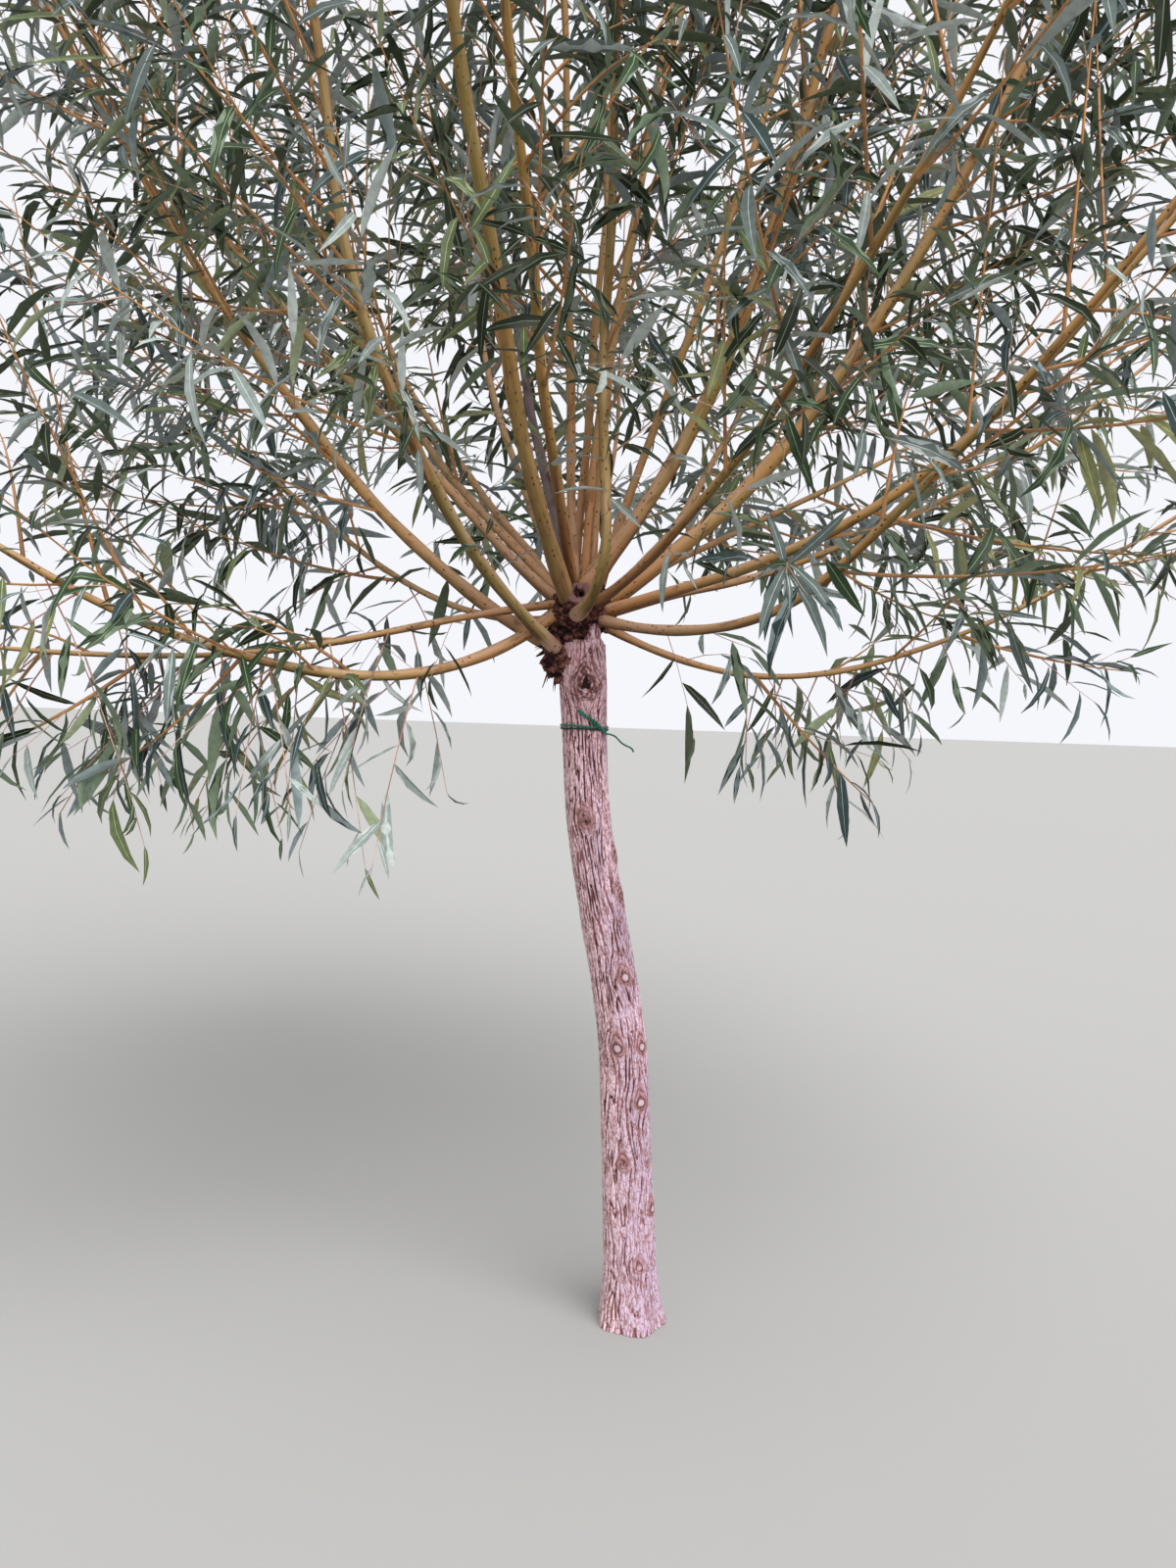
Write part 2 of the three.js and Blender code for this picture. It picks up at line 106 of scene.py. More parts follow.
# Relief of the trunk's bark
PLATE_RISE = 0.0020
PLATE_ROUNDING = 0.008
GRAIN_DEPTH = 0.0010
RING_DEPTH = 0.0028
RING_PITCH = 0.0085
FACE_DEPTH = 0.0016
WOUND_DEPTH = 0.012
WOUND_LIP = 0.004
DEEP_FISSURE = (0.0008, 0.0034)
SHALLOW_FISSURE = (0.0004, 0.0026)
RIM_DEPTH = 0.0022
STRIP_THICKNESS = 0.003

# Where the forms of a knot begin and end to fade, as shares of its width
FACE_EDGE = (0.22, 0.32)
WOUND_EDGE = (0.12, 0.34)
COLLAR_EDGE = (0.6, 1.0)
RIM_EDGE = (0.5, 1.0)
HALF_OPEN = 0.3

# Head, burl and their stubs
HEAD_HEIGHT = 1.8
HEAD_RADIUS = 0.088
CALLUS_RADIUS = 0.080
BURL_ANGLE = -170
BURL_DROP = 0.062
BURL_OUT = 0.052
BURL_LUMPS = (
    ((0.0, 0.0, 0.0), 0.036, 60),
    ((0.016, 0.004, 0.034), 0.028, 40),
    ((-0.008, -0.008, -0.034), 0.028, 46),
    ((-0.014, -0.010, -0.066), 0.022, 40),
    ((0.002, -0.012, -0.092), 0.013, 30),
    ((0.012, -0.022, -0.052), 0.021, 36),
    ((-0.032, -0.006, -0.058), 0.012, 24),
    ((-0.020, -0.014, -0.004), 0.021, 36),
)
CALLUS_GRID = (110, 170)
COLLAR_GRID = (18, 26)
COLLAR_SHARE = 0.65
PLAIN_ENDS = (3, 16)
STUB_GRID = (7, 9)
DEAD_STUB_GRID = (14, 26)
DEAD_STUB_WAY = (-92, 10)
DEAD_STUB_RIM = (-0.004, -0.090, 0.047)
DEAD_STUB_RADIUS = 0.029
DEAD_STUB_LENGTH = 0.060
DEAD_STUB_HOLLOW = 0.021

# Broken stubs: heading, rise, length and radius of each
BURL_STUBS = (
    (192, -52, 0.068, 0.0076),
    (206, -72, 0.104, 0.0060),
    (178, -40, 0.058, 0.0072),
    (250, -34, 0.054, 0.0060),
    (236, 8, 0.044, 0.0050),
    (196, -22, 0.056, 0.0050),
    (224, -84, 0.112, 0.0055),
)
HEAD_STUBS = (
    (-62, 26, 0.100, 0.0065),
    (-96, -4, 0.096, 0.0055),
    (262, 30, 0.104, 0.0070),
    (20, -18, 0.092, 0.0050),
    (100, -10, 0.100, 0.0060),
)

# Crown
CROWN_HEIGHT = 3.05
CROWN_SHIFT = -0.15
CROWN_HALF_WIDTH = 2.1
CROWN_HALF_HEIGHT = 1.78
CROWN_SQUARENESS = 3
TWIGS_CROWN = 1.12
BOX_MARGIN = 0.08
LEAF_BOX_MARGIN = 0.095

# Limbs
RISE_PLACES = (0.0, 0.3, 0.7, 1.2, 1.9)
BARE_LENGTH = 0.64
LIMB_STEP = 0.025
LIMB_MOST_STEPS = 200
LIMB_TIP_RADIUS = 0.0035
LEADER_LENGTH = 0.30
LEADER_TIP_RADIUS = 0.0009
ROOT_DEPTH = 0.72
ROOT_SPACING = 0.004
SPREAD_ROUNDS = 80
LIMB_SIDES = 12
END_ROUNDING = 0.55
TIP_POINT = 0.004
FOOT_ROWS = (0.001, 0.06, 0.006)
FIRST_ROW = 0.07
SWELLING_BELL = (0.03, 0.055)
LIMB_CROOK = 0.004
SPUR_HEIGHT = 0.0016
SPUR_LENGTH = 0.016

# Shoots, by the source's rule but closer together
SHOOT_EVERY = 0.385
WEEPING_CLOSER = 0.4
FIRST_SHOOT = -0.15
LAST_SHOOT = 0.06
SHOOT_TRIES = 7
TRY_PLACES = ((0.25, 0.4, 0.55, 0.72),)
LONGEST_TRY = 1.4
SHORTER_EACH_TRY = 0.87
GOLDEN_ANGLE = 137.5
SHOOT_SPREAD = (36, 56)
SHOOT_LIFT = 0.35
SHOOT_HANG = -1.1
HANGING_SHORTER = 0.55
SHOOT_LENGTHS = (0.56, 0.36)
SHOOT_RADII = (0.0052, 0.0036)
SHOOT_TIP_RADIUS = 0.0012
SHOOT_GROWTHS = (0.8, 1.15)
SHOOT_END_SHARES = (0.35, 0.75)
SHOOT_GIRTHS = (0.8, 1.2)
HANGING_SHARE = 0.8
TIP_LEAF_PLACE = 0.88
SPRAY_LENGTH = 0.36
BOUGH_CLEARANCE = 0.03
LEAST_KEPT = 0.35

# How sprays are numbered: apart for each limb, then for each shoot
LIMB_SPRAYS = 1000
TWIG_SPRAYS = 10

# Fine twigs, sprigs on the bare boughs, and tassels that hang from weeping limbs
TWIG_PLACES = (0.14, 0.86)
TWIG_SPREAD = (30, 52)
TWIG_LENGTHS = (0.28, 0.10)
TWIG_RADII = (0.0017, 0.0006)
TWIG_SHIFT = 0.3
TWIG_GROWTHS = (0.6, 1.25)
TWIG_LIFTS = (-0.25, 0.4)
TWIG_FOLLOWS = 0.35
TWIGS_GROWN = 0.95
TWIGS_GROWN_HANGING = 0.3
FULLY_TWIGGED = 0.8
HANGS_BELOW = -0.3
SPRIGS = 3
SPRIG_PLACES = (0.16, 0.56)
SPRIG_LENGTHS = (0.10, 0.24)
SPRIG_RADII = (0.0013, 0.0006)
SPRIG_LIFTS = (-0.7, 0.5)
SPRIGS_MISSING = 0.35
SPRIG_SPRAY = 900
FIRST_TASSEL = 0.34
TASSEL_FALL = -48
TASSEL_RADII = (0.0026, 0.0009)
TASSEL_GROWTHS = (0.6, 1.15)
TASSEL_LIFTS = (-0.9, -0.3)
TASSEL_SPRAY = 800

# The uses of chance, each with its own number
SHOOT_TURNS, SHOOT_SPREADS, SHOOT_GROWS, SHOOT_HANGS, SHOOT_ENDS, SHOOT_GIRTH = range(1, 7)
SPRIG_PLACE, SPRIG_TURNS, SPRIG_LENGTH, SPRIG_LIFT, SPRIG_GROWS = range(11, 16)
TINT_OF_SPRAY = (7, 3)
BARK_TONE = 20
TASSEL_PLACE, TASSEL_TURNS, TASSEL_LENGTH, TASSEL_LIFT = range(31, 35)

# Seeds of the random draws
TWIG_SEED = 21
BURL_STUB_SEED = 30
HEAD_STUB_SEED = 40
SHOOT_LEAF_SEED = 51
TWIG_LEAF_SEED = 52
DEAD_STUB_SEED = 61

# Leaves, at three stations from foot to tip
STATIONS = np.array([0.16, 0.45, 0.76])
STATION_WIDTHS = np.array([0.66, 1.0, 0.62])
RIB_WIDTHS = np.array([0.0008, 0.0006, 0.0004])
RIB_HEIGHT = 0.0003
BLADE_SIDES = 5
BLADE_POINTS = 2 + BLADE_SIDES * len(STATIONS)
BLADE_THICKNESS = 0.0006
LEAF_LEANS_LOW = (40, 72)
LEAF_LEANS_HIGH = (10, 40)
LEAF_SAG = 0.5
LEAF_UPWARDS = 0.8
LEAF_TIPWARDS = 0.35
LEAF_SCATTER = 0.42
LEAF_SIZES = (0.74, 1.12)
TIP_LEAF_SIZE = 0.5
TIP_LEAVES = (0.72, 1.0)
LEAF_HALF_WIDTHS = (0.058, 0.084)
LEAF_BENDS = (0.15, 1.25)
LEAF_TWIST = 0.35
LEAF_FOLDS = (0.12, 0.5)
FIRST_LEAF = 0.12
SHOOT_LEAVES_APART = 0.95
TWIG_LEAVES_APART = 1.1
# Hanging tassels take only the lighter tints: painted light on the leaves low in front.
PAINTED_LIGHT_TASSEL_TINTS = (0.25, 1)

# Tie
TIE_HEIGHT = 1.524
TIE_TILT = 0.5
TIE_TURNS = 2
TIE_START = -50
TIE_POINTS = 120
TIE_CLEARANCE = 0.0018
TIE_END_CLEARANCE = 0.0022
WIRE_SIDES = 10
TIE_PLAITS = 7
TIE_END = (
    (-103, 1.567),
    (-88, 1.555),
    (-74, 1.544),
    (-60, 1.533),
    (-46, 1.522),
    (-28, 1.508),
    (-10, 1.482),
)
TIE_END_LIFT = (0.058, -0.018, -0.014)
TIE_END_POINTS = (110, 84)

# Looks, stage and camera
SHEEN = 0.22
FLOOR_SIDE = 120.0
SUN_ANGLE = 50
SUN_TILT = 43
SUN_TURN = 31
CAMERA_PLACE = (-0.158, -2.93, 1.60)
CAMERA_DOWN = 4.24
CAMERA_ROLL = 2.0
CAMERA_LENS = 27.0
SENSOR_WIDTH = 36.0


def paint(red, green, blue):
    """Scene-linear colour of a screen colour given from 0 to 255."""
    shares = [value / 255 for value in (red, green, blue)]
    return tuple(s / 12.92 if s < 0.04045 else ((s + 0.055) / 1.055) ** 2.4 for s in shares)


@dataclass(frozen=True)
class Knot:
    """A pruning scar, or a dark knot where the wound is still open."""

    height: float
    angle: float
    width: float
    depth: float
    opened: float = 0.0

    def within(self, distance, edge):
        """1 inside one of the knot's forms and 0 outside it."""
        return fade(distance, edge[0] * self.width, edge[1] * self.width)


KNOTS = (
    Knot(0.170, -69, 0.022, 0.004, opened=0.15),
    Knot(0.308, -23, 0.026, 0.007),
    Knot(0.433, -99, 0.024, 0.003, opened=0.35),
    Knot(0.591, -53, 0.030, 0.007),
    Knot(0.730, -40, 0.028, 0.006),
    Knot(0.729, -104, 0.030, 0.005),
    Knot(0.909, -62, 0.028, 0.007),
    Knot(1.104, -20, 0.030, 0.005, opened=0.4),
    Knot(1.206, -18, 0.024, 0.007, opened=0.3),
    Knot(1.297, -96, 0.030, 0.006, opened=0.4),
    Knot(1.630, -82, 0.048, 0.011, opened=1.0),
    Knot(0.480, 118, 0.028, 0.006),
    Knot(0.860, 70, 0.030, 0.006),
    Knot(1.010, 162, 0.028, 0.005),
    Knot(1.390, 95, 0.032, 0.007, opened=0.7),
)


@dataclass
class Limb:
    """A bough and the stem that carries on from it.

    heading    compass angle it grows towards
    seat       height angle of its root
    rises      how steeply it climbs at RISE_PLACES
    girth      thickness at the root
    root       compass angle of its root, where that isn't its heading
    on_burl    whether it roots as far below the head's middle as the burl lies
    vigour     how near it comes to the crown's edge
    bare       length of the part without shoots
    weep       how much its shoots hang
    leafy      how closely its shoots stand
    swelling   how stout its root is
    olive      how green its bark is
    early      power of its taper
    shorter    factor on its shoots' lengths
    tassels    how many thin twigs hang from it, their length, and how far out the last one is
    dead       whether it is the bare dead limb
    number     its number in the table, from 1
    route      its points, a step apart from the root on
    reach      how far out its last spray grows
    """

    heading: float
    seat: float
    rises: tuple
    girth: float
    root: float = None
    on_burl: bool = False
    vigour: float = 1.0
    bare: float = BARE_LENGTH
    weep: float = 0.0
    leafy: float = 1.0
    swelling: float = 1.0
    olive: float = 0.0
    early: float = 1.0
    shorter: float = 1.0
    tassels: tuple = ()
    dead: bool = False
    number: int = 0
    route: np.ndarray = None
    reach: float = 0.0

    @property
    def length(self):
        """From the root to the leader's tip, or to a dead limb's end."""
        return self.reach if self.dead else self.reach + LEADER_LENGTH

    @property
    def label(self):
        """The number as the CAD nodes' names have it."""
        return f"{self.number:02d}"


def limb_table():
    """The limbs, nearly as the source has them."""
    return [
        Limb(
            204, 6, (-40, -17, 11, 28, 35), 0.030,
            vigour=1.14, weep=0.8, leafy=0.75, tassels=(14, 0.42, 1.25),
        ),
        Limb(
            199, 22, (-9, -14, -10, 4, 14), 0.020,
            vigour=1.18, weep=0.8, leafy=0.7, tassels=(12, 0.38, 1.25),
        ),
        Limb(225, -28, (30, 42, 59, 80, 74), 0.032, root=208, on_burl=True, weep=0.25, olive=1.0),
        Limb(178, -16, (24, 39, 48, 55, 60), 0.036, on_burl=True),
        Limb(149, -8, (-4, 14, 34, 32, 45), 0.020, weep=0.4, tassels=(6, 0.3, 1.25)),
        Limb(168, 28, (38, 47, 43, 49, 57), 0.028),
        Limb(136, 38, (36, 35, 44, 51, 58), 0.026),
        Limb(127, 12, (46, 36, 37, 48, 56), 0.025),
        Limb(114, 32, (46, 38, 50, 56, 56), 0.026),
        Limb(245, 14, (45, 56, 68, 66, 72), 0.040, weep=0.35, swelling=0.3, olive=0.5, leafy=1.15),
        Limb(117, 56, (52, 60, 62, 63, 60), 0.031, bare=1.75, dead=True),
        Limb(86, 8, (10, 20, 34, 44, 52), 0.026, weep=0.3),
        Limb(156, 74, (82, 88, 86, 88, 82), 0.025, leafy=1.2),
        Limb(76, 60, (76, 78, 80, 81, 80), 0.024, root=125, leafy=1.2),
        Limb(22, 84, (90, 85, 81, 78, 78), 0.022),
        Limb(
            -65, 0, (2, 101, 90, 88, 86), 0.027,
            root=-108, weep=0.35, swelling=3.0, olive=1.2, leafy=1.15,
        ),
        Limb(60, 26, (24, 32, 42, 50, 56), 0.025, leafy=1.15),
        Limb(39, 60, (88, 86, 81, 80, 74), 0.023, leafy=1.2),
        Limb(14, 42, (76, 71, 71, 74, 72), 0.023, leafy=0.85),
        Limb(-12, 58, (53, 57, 71, 77, 76), 0.042, root=-95, leafy=0.9, swelling=2.8),
        Limb(-3, 30, (36, 42, 55, 63, 64), 0.044, leafy=1.1),
        Limb(11, 37, (35, 42, 54, 60, 62), 0.028, leafy=1.1),
        Limb(32, 18, (38, 25, 25, 30, 45), 0.020, weep=0.3, leafy=0.8),
        Limb(-27, 10, (15, 15, 31, 50, 52), 0.030, leafy=0.85),
        Limb(12, 4, (20, 14, 26, 32, 45), 0.022, weep=0.2, leafy=0.55),
        Limb(-44, -10, (-13, 1, 36, 45, 52), 0.026, weep=0.3, leafy=0.7),
        Limb(
            -5, -22, (-28, -11, 20, 32, 38), 0.022,
            vigour=1.06, bare=0.46, weep=0.1, leafy=0.6, early=0.5, shorter=0.5, tassels=(15, 0.23, 0.86),
        ),
        Limb(-102, 66, (44, 50, 57, 63, 68), 0.028, root=-125, weep=0.4),
        Limb(-58, 24, (16, 28, 38, 48, 54), 0.024, weep=0.3, leafy=0.7),
    ]


@dataclass(frozen=True)
class Tint:
    """One colouring of leaves: its share of the sprays, and the colours of a leaf's sides and midrib."""

    name: str
    share: float
    upper: tuple
    under: tuple
    rib: tuple


TINTS = (
    # Deep: dark green leaves; their darkest tones are painted shade for leaves inside the crown.
    Tint("deep", 0.25, paint(25, 34, 16), paint(77, 88, 68), paint(112, 124, 98)),
    Tint("green", 0.22, paint(48, 66, 42), paint(115, 131, 108), paint(142, 156, 124)),
    Tint("blue", 0.15, paint(48, 63, 63), paint(127, 140, 140), paint(146, 156, 151)),
    Tint("grey", 0.13, paint(90, 102, 98), paint(154, 163, 159), paint(174, 182, 176)),
    Tint("olive", 0.12, paint(90, 102, 67), paint(140, 150, 119), paint(169, 176, 137)),
    Tint("pale", 0.10, paint(133, 143, 138), paint(171, 179, 174), paint(186, 191, 185)),
    Tint("yellowed", 0.03, paint(120, 123, 80), paint(148, 149, 110), paint(174, 170, 128)),
)


# Whole-array arithmetic


def lerp(first, second, share):
    """The first value plus a share of the way to the second."""
    return first + (second - first) * share


def ease(value, low, high):
    """0 up to low, 1 from high on, and a smooth cubic step between them."""
    share = np.clip((value - low) / (high - low), 0, 1)
    return share * share * (3 - 2 * share)


def hill(value, width):
    """A bell of height 1: e to the power of minus the square of the value over the width."""
    return np.exp(-np.square(value / width))


def fade(value, low, high):
    """1 up to low, 0 from high on, and a smooth cubic step between them."""
    return 1 - ease(value, low, high)


def unit(vectors):
    """Each vector over its own length."""
    return vectors / np.maximum(np.linalg.norm(vectors, axis=-1, keepdims=True), 1e-9)


def square_to(way, vectors):
    """The vectors without their part along a way, brought back to length 1."""
    return unit(vectors - way * (way * vectors).sum(-1, keepdims=True))


def round_angles(count):
    """Angles spaced evenly over one turn, in radians."""
    return np.arange(count) * 2 * np.pi / count


def circle(side, over, count):
    """Ways to points spaced evenly round a circle: side times the cosine plus over times the sine."""
    turn = round_angles(count)
    return np.cos(turn)[:, None] * side[..., None, :] + np.sin(turn)[:, None] * over[..., None, :]


def turn_from(angle, heading):
    """The turn from a heading in degrees to each angle in radians, between minus and plus half a turn."""
    turn = angle - np.radians(heading)
    return np.arctan2(np.sin(turn), np.cos(turn))


def leaning(along, side, turn, spread):
    """Ways at an angle of spread to along, turned about it from its side, and the ways straight out."""
    out = np.cos(turn) * side + np.sin(turn) * np.cross(along, side)
    return np.cos(spread) * along + np.sin(spread) * out, out


def towards(heading, height):
    """Unit vectors at a compass heading and a height angle, in degrees."""
    heading, height = np.broadcast_arrays(np.radians(heading), np.radians(height))
    level = np.cos(height)
    return np.stack([level * np.cos(heading), level * np.sin(heading), np.sin(height)], -1)


def chance(limb, shoot, use):
    """A number from 0 to 1 that is always the same: what stands after the point of a multiplied sine."""
    wave = np.sin(limb * 12.9898 + shoot * 78.233 + use * 37.719) * 43758.5453
    return wave - np.floor(wave)


def net_noise(across, along, cells, seed):
    """Gradient noise from about -0.7 to 0.7 on a lattice that repeats after a number of cells across.

    Each lattice point has a slope of random direction. The value is the four nearest slopes times the way
    from their points, joined by the fifth-power curve 6t^5 - 15t^4 + 10t^3.
    """
    lattice_rows = 97
    turn = np.random.default_rng(seed).uniform(0, 2 * np.pi, (lattice_rows, cells))
    column = np.floor(across).astype(int)
    row = np.floor(along).astype(int)
    x = across - column
    y = along - row

    def corner(i, j):
        slope = turn[(row + i) % lattice_rows, (column + j) % cells]
        return np.cos(slope) * (x - j) + np.sin(slope) * (y - i)

    def curve(t):
        return t * t * t * (t * (t * 6 - 15) + 10)

    near = lerp(corner(0, 0), corner(0, 1), curve(x))
    far = lerp(corner(1, 0), corner(1, 1), curve(x))
    return lerp(near, far, curve(y))


def lumps(directions, pitch, seed):
    """Soft lumps from about -1 to 1 over a round body: eight sine waves in random directions, mixed."""
    draw = np.random.default_rng(seed)
    total = 0
    for _ in range(8):
        wave = unit(draw.normal(size=3)) * 2 * np.pi / (pitch * draw.uniform(0.7, 1.4))
        total = total + np.sin(directions @ wave + draw.uniform(0, 2 * np.pi))
    return total / 3


class Rows:
    """Things of one kind as arrays with a row for each. The kinds are dataclasses."""

    def only(self, rows):
        """The rows that a mask or an index picks."""
        return type(self)(*(getattr(self, name)[rows] for name in self.__dataclass_fields__))

    @classmethod
    def gather(cls, groups):
        """Several sets as one."""
        names = cls.__dataclass_fields__
        return cls(*(np.concatenate([getattr(group, name) for group in groups]) for name in names))


def capped(rows, start=0, end=0):
    """Numbers on a spindle's points: its start, its rings and its end."""
    return np.concatenate([[start], rows.ravel(), [end]])


# Meshes


def spindles(rings, starts, ends):
    """Points and faces of closed tubes that end in a point at both ends.

    rings has the shape (tubes, rings, sides, 3). Each ring turns left about the way the tube runs, so the
    faces look outwards. Points are counted start, rings, end, tube after tube.
    """
    tubes, count, sides, _ = rings.shape
    points = np.concatenate([starts[:, None], rings.reshape(tubes, count * sides, 3), ends[:, None]], 1)
    column = np.arange(sides)
    after = (column + 1) % sides
    first = 1 + np.arange(count - 1)[:, None] * sides
    quads = np.stack([first + column, first + after, first + sides + after, first + sides + column], -1)
    last = 1 + (count - 1) * sides
    fans = np.concatenate([
        np.stack([0 * column, 1 + after, 1 + column], -1),
        np.stack([last + column, last + after, 0 * column + count * sides + 1], -1),
    ])
    step = (np.arange(tubes) * points.shape[1])[:, None, None]
    return (
        points.reshape(-1, 3),
        (step + quads.reshape(1, -1, 4)).reshape(-1, 4),
        (step + fans[None]).reshape(-1, 3),
    )


def build_mesh(name, surface, finish_index=None, rim=None, marks=None):
    """A mesh from whole arrays.

    surface holds the points and groups of faces with as many corners each, finish_index the finish of each
    face, rim which points lie on a sharp rim, and marks named numbers or vectors on the points.
    """
    points, *face_groups = surface
    mesh = bpy.data.meshes.new(name)
    corners = np.concatenate([faces.ravel() for faces in face_groups])
    sizes = np.concatenate([np.full(len(faces), faces.shape[1]) for faces in face_groups])
    mesh.vertices.add(len(points))
    mesh.vertices.foreach_set("co", points.astype(np.float32).ravel())
    mesh.loops.add(len(corners))
    mesh.loops.foreach_set("vertex_index", corners.astype(np.int32))
    mesh.polygons.add(len(sizes))
    mesh.polygons.foreach_set("loop_start", (np.cumsum(sizes) - sizes).astype(np.int32))
    mesh.polygons.foreach_set("use_smooth", np.ones(len(sizes), bool))
    if finish_index is not None:
        mesh.polygons.foreach_set("material_index", finish_index.astype(np.int32))
    mesh.update(calc_edges=True)
    for label, values in (marks or {}).items():
        kind, field = ("FLOAT_VECTOR", "vector") if values.ndim == 2 else ("FLOAT", "value")
        layer = mesh.attributes.new(label, kind, "POINT")
        layer.data.foreach_set(field, values.astype(np.float32).ravel())
    if rim is not None:
        ends = np.empty(2 * len(mesh.edges), np.int32)
        mesh.edges.foreach_get("vertices", ends)
        sharp = mesh.attributes.new("sharp_edge", "BOOLEAN", "EDGE")
        sharp.data.foreach_set("value", rim[ends].reshape(-1, 2).all(1))
    if mesh.validate():
        raise RuntimeError(f"{name} had faulty faces")
    return mesh


def put_object(name, data):
    """An object in the scene, at the origin."""
    thing = bpy.data.objects.new(name, data)
    bpy.context.scene.collection.objects.link(thing)
    return thing


def put_piece(name, surface, finishes, slot, nodes, **details):
    """Adds a surface to the tree: it rides on the one body and stands for CAD nodes."""
    piece = put_object(name, build_mesh(name, surface, **details))
    for finish in finishes:
        piece.data.materials.append(finish)
    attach(piece, BODY)
    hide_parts(*nodes)


# Finishes


class Value:
    """A shader socket that carries a number. Arithmetic on it adds Math nodes."""

    def __init__(self, finish, socket):
        self.finish = finish
        self.socket = socket

    def math(self, operation, first, second):
        return self.finish.node("ShaderNodeMath", {"operation": operation}, {0: first, 1: second})

    def __add__(self, other):
        return self.math("ADD", self, other)

    def __sub__(self, other):
        return self.math("SUBTRACT", self, other)

    def __rsub__(self, other):
        return self.math("SUBTRACT", other, self)

    def __mul__(self, other):
        return self.math("MULTIPLY", self, other)

    __radd__ = __add__
    __rmul__ = __mul__

    def step(self, low, high):
        """0 up to low, 1 from high on, smooth between them."""
        settings = {"interpolation_type": "SMOOTHSTEP"}
        return self.finish.node("ShaderNodeMapRange", settings, {0: self, 1: low, 2: high})


class Finish:
    """A material in the making, with its nodes.

    A colour is a tuple, a link, or a word for a colour of the settings: plate is settings.plate_colour.
    """

    def __init__(self, name, roughness, colour, settings=None):
        self.settings = settings
        colour = self.shade(colour)
        self.material = bpy.data.materials.new(name)
        self.material.use_nodes = True
        self.tree = self.material.node_tree
        self.shader = self.tree.nodes["Principled BSDF"]
        self.shader.inputs["Roughness"].default_value = roughness
        self.shader.inputs["Specular IOR Level"].default_value = SHEEN
        self.shader.inputs["Base Color"].default_value = (*colour, 1)
        self.material.diffuse_color = (*colour, 1)

    def shade(self, colour):
        """The settings' colour for a word, and any other colour as it is."""
        return tuple(getattr(self.settings, f"{colour}_colour")) if isinstance(colour, str) else colour

    def node(self, kind, settings, sockets, output=0):
        """Adds a node with its settings, fills its sockets with values or links, and gives an output."""
        node = self.tree.nodes.new(kind)
        for name, setting in settings.items():
            setattr(node, name, setting)
        for place, value in sockets.items():
            self.feed(node.inputs[place], value)
        return Value(self, node.outputs[output])

    def feed(self, socket, value):
        """Puts a link, a colour or a number into a socket."""
        if isinstance(value, Value):
            self.tree.links.new(value.socket, socket)
        elif socket.type == "RGBA":
            socket.default_value = (*self.shade(value), 1)
        else:
            socket.default_value = value

    def place(self):
        """Object coordinates."""
        return self.node("ShaderNodeTexCoord", {}, {}, "Object")

    def mark(self, label, output="Fac"):
        """A number or a vector that the mesh carries on its points."""
        return self.node("ShaderNodeAttribute", {"attribute_name": label}, {}, output)

    def stretched(self, spot, stretch):
        """A spot with each coordinate multiplied."""
        return self.node("ShaderNodeVectorMath", {"operation": "MULTIPLY"}, {0: spot, 1: stretch})

    def bent(self, spot, scale, amount):
        """A spot moved about by soft noise."""
        drift = self.node("ShaderNodeTexNoise", {}, {"Vector": spot, "Scale": scale}, "Color")
        sockets = {0: drift, 1: (amount, amount, amount), 2: spot}
        return self.node("ShaderNodeVectorMath", {"operation": "MULTIPLY_ADD"}, sockets)

    def noise(self, spot, scale, detail=2.0, distortion=0.0):
        """Soft noise from 0 to 1, mostly near a half."""
        sockets = {"Vector": spot, "Scale": scale, "Detail": detail, "Distortion": distortion}
        return self.node("ShaderNodeTexNoise", {}, sockets, "Fac")

    def grain(self, skin, stretch, scale, detail, distortion=0.0):
        """Noise that is drawn out along the wood: the less the stretch, the longer."""
        return self.noise(self.stretched(skin, (1, 1, stretch)), scale, detail, distortion)

    def cells(self, spot, scale):
        """How far a spot lies from the nearest of many scattered points."""
        return self.node("ShaderNodeTexVoronoi", {}, {"Vector": spot, "Scale": scale}, "Distance")

    def edges(self, spot, scale):
        """How far a spot lies from the border between the cells round such points."""
        sockets = {"Vector": spot, "Scale": scale}
        return self.node("ShaderNodeTexVoronoi", {"feature": "DISTANCE_TO_EDGE"}, sockets, "Distance")

    def mix(self, factor, first, second):
        """A colour between two others."""
        return self.node("ShaderNodeMix", {"data_type": "RGBA"}, {0: factor, 6: first, 7: second}, 2)

    def layers(self, colour, *coats):
        """A colour with coats over it in turn. Each is the share that it covers, and its own colour."""
        for factor, coat in coats:
            colour = self.mix(factor, colour, coat)
        return colour

    def bump(self, height, strength, distance):
        """A normal that leans as a height rises."""
        sockets = {"Height": height, "Strength": strength, "Distance": distance}
        return self.node("ShaderNodeBump", {}, sockets)

    def wear(self, **sockets):
        """Feeds the shader's own sockets, named with _ for a space, and hands over the material."""
        for name, value in sockets.items():
            self.feed(self.shader.inputs[name.replace("_", " ")], value)
        return self.material


# Trunk


def trunk_middle(height):
    """Sideways place of the trunk's middle: a straight lean and one smooth step for its S-bend."""
    return -TRUNK_LEAN * height - TRUNK_BEND * ease(height, BEND_FROM, BEND_TO)


def trunk_taper(height):
    """Radius of the even taper from the foot to the neck."""
    return lerp(FOOT_RADIUS, NECK_RADIUS, np.clip(height / NECK_HEIGHT, 0, 1))


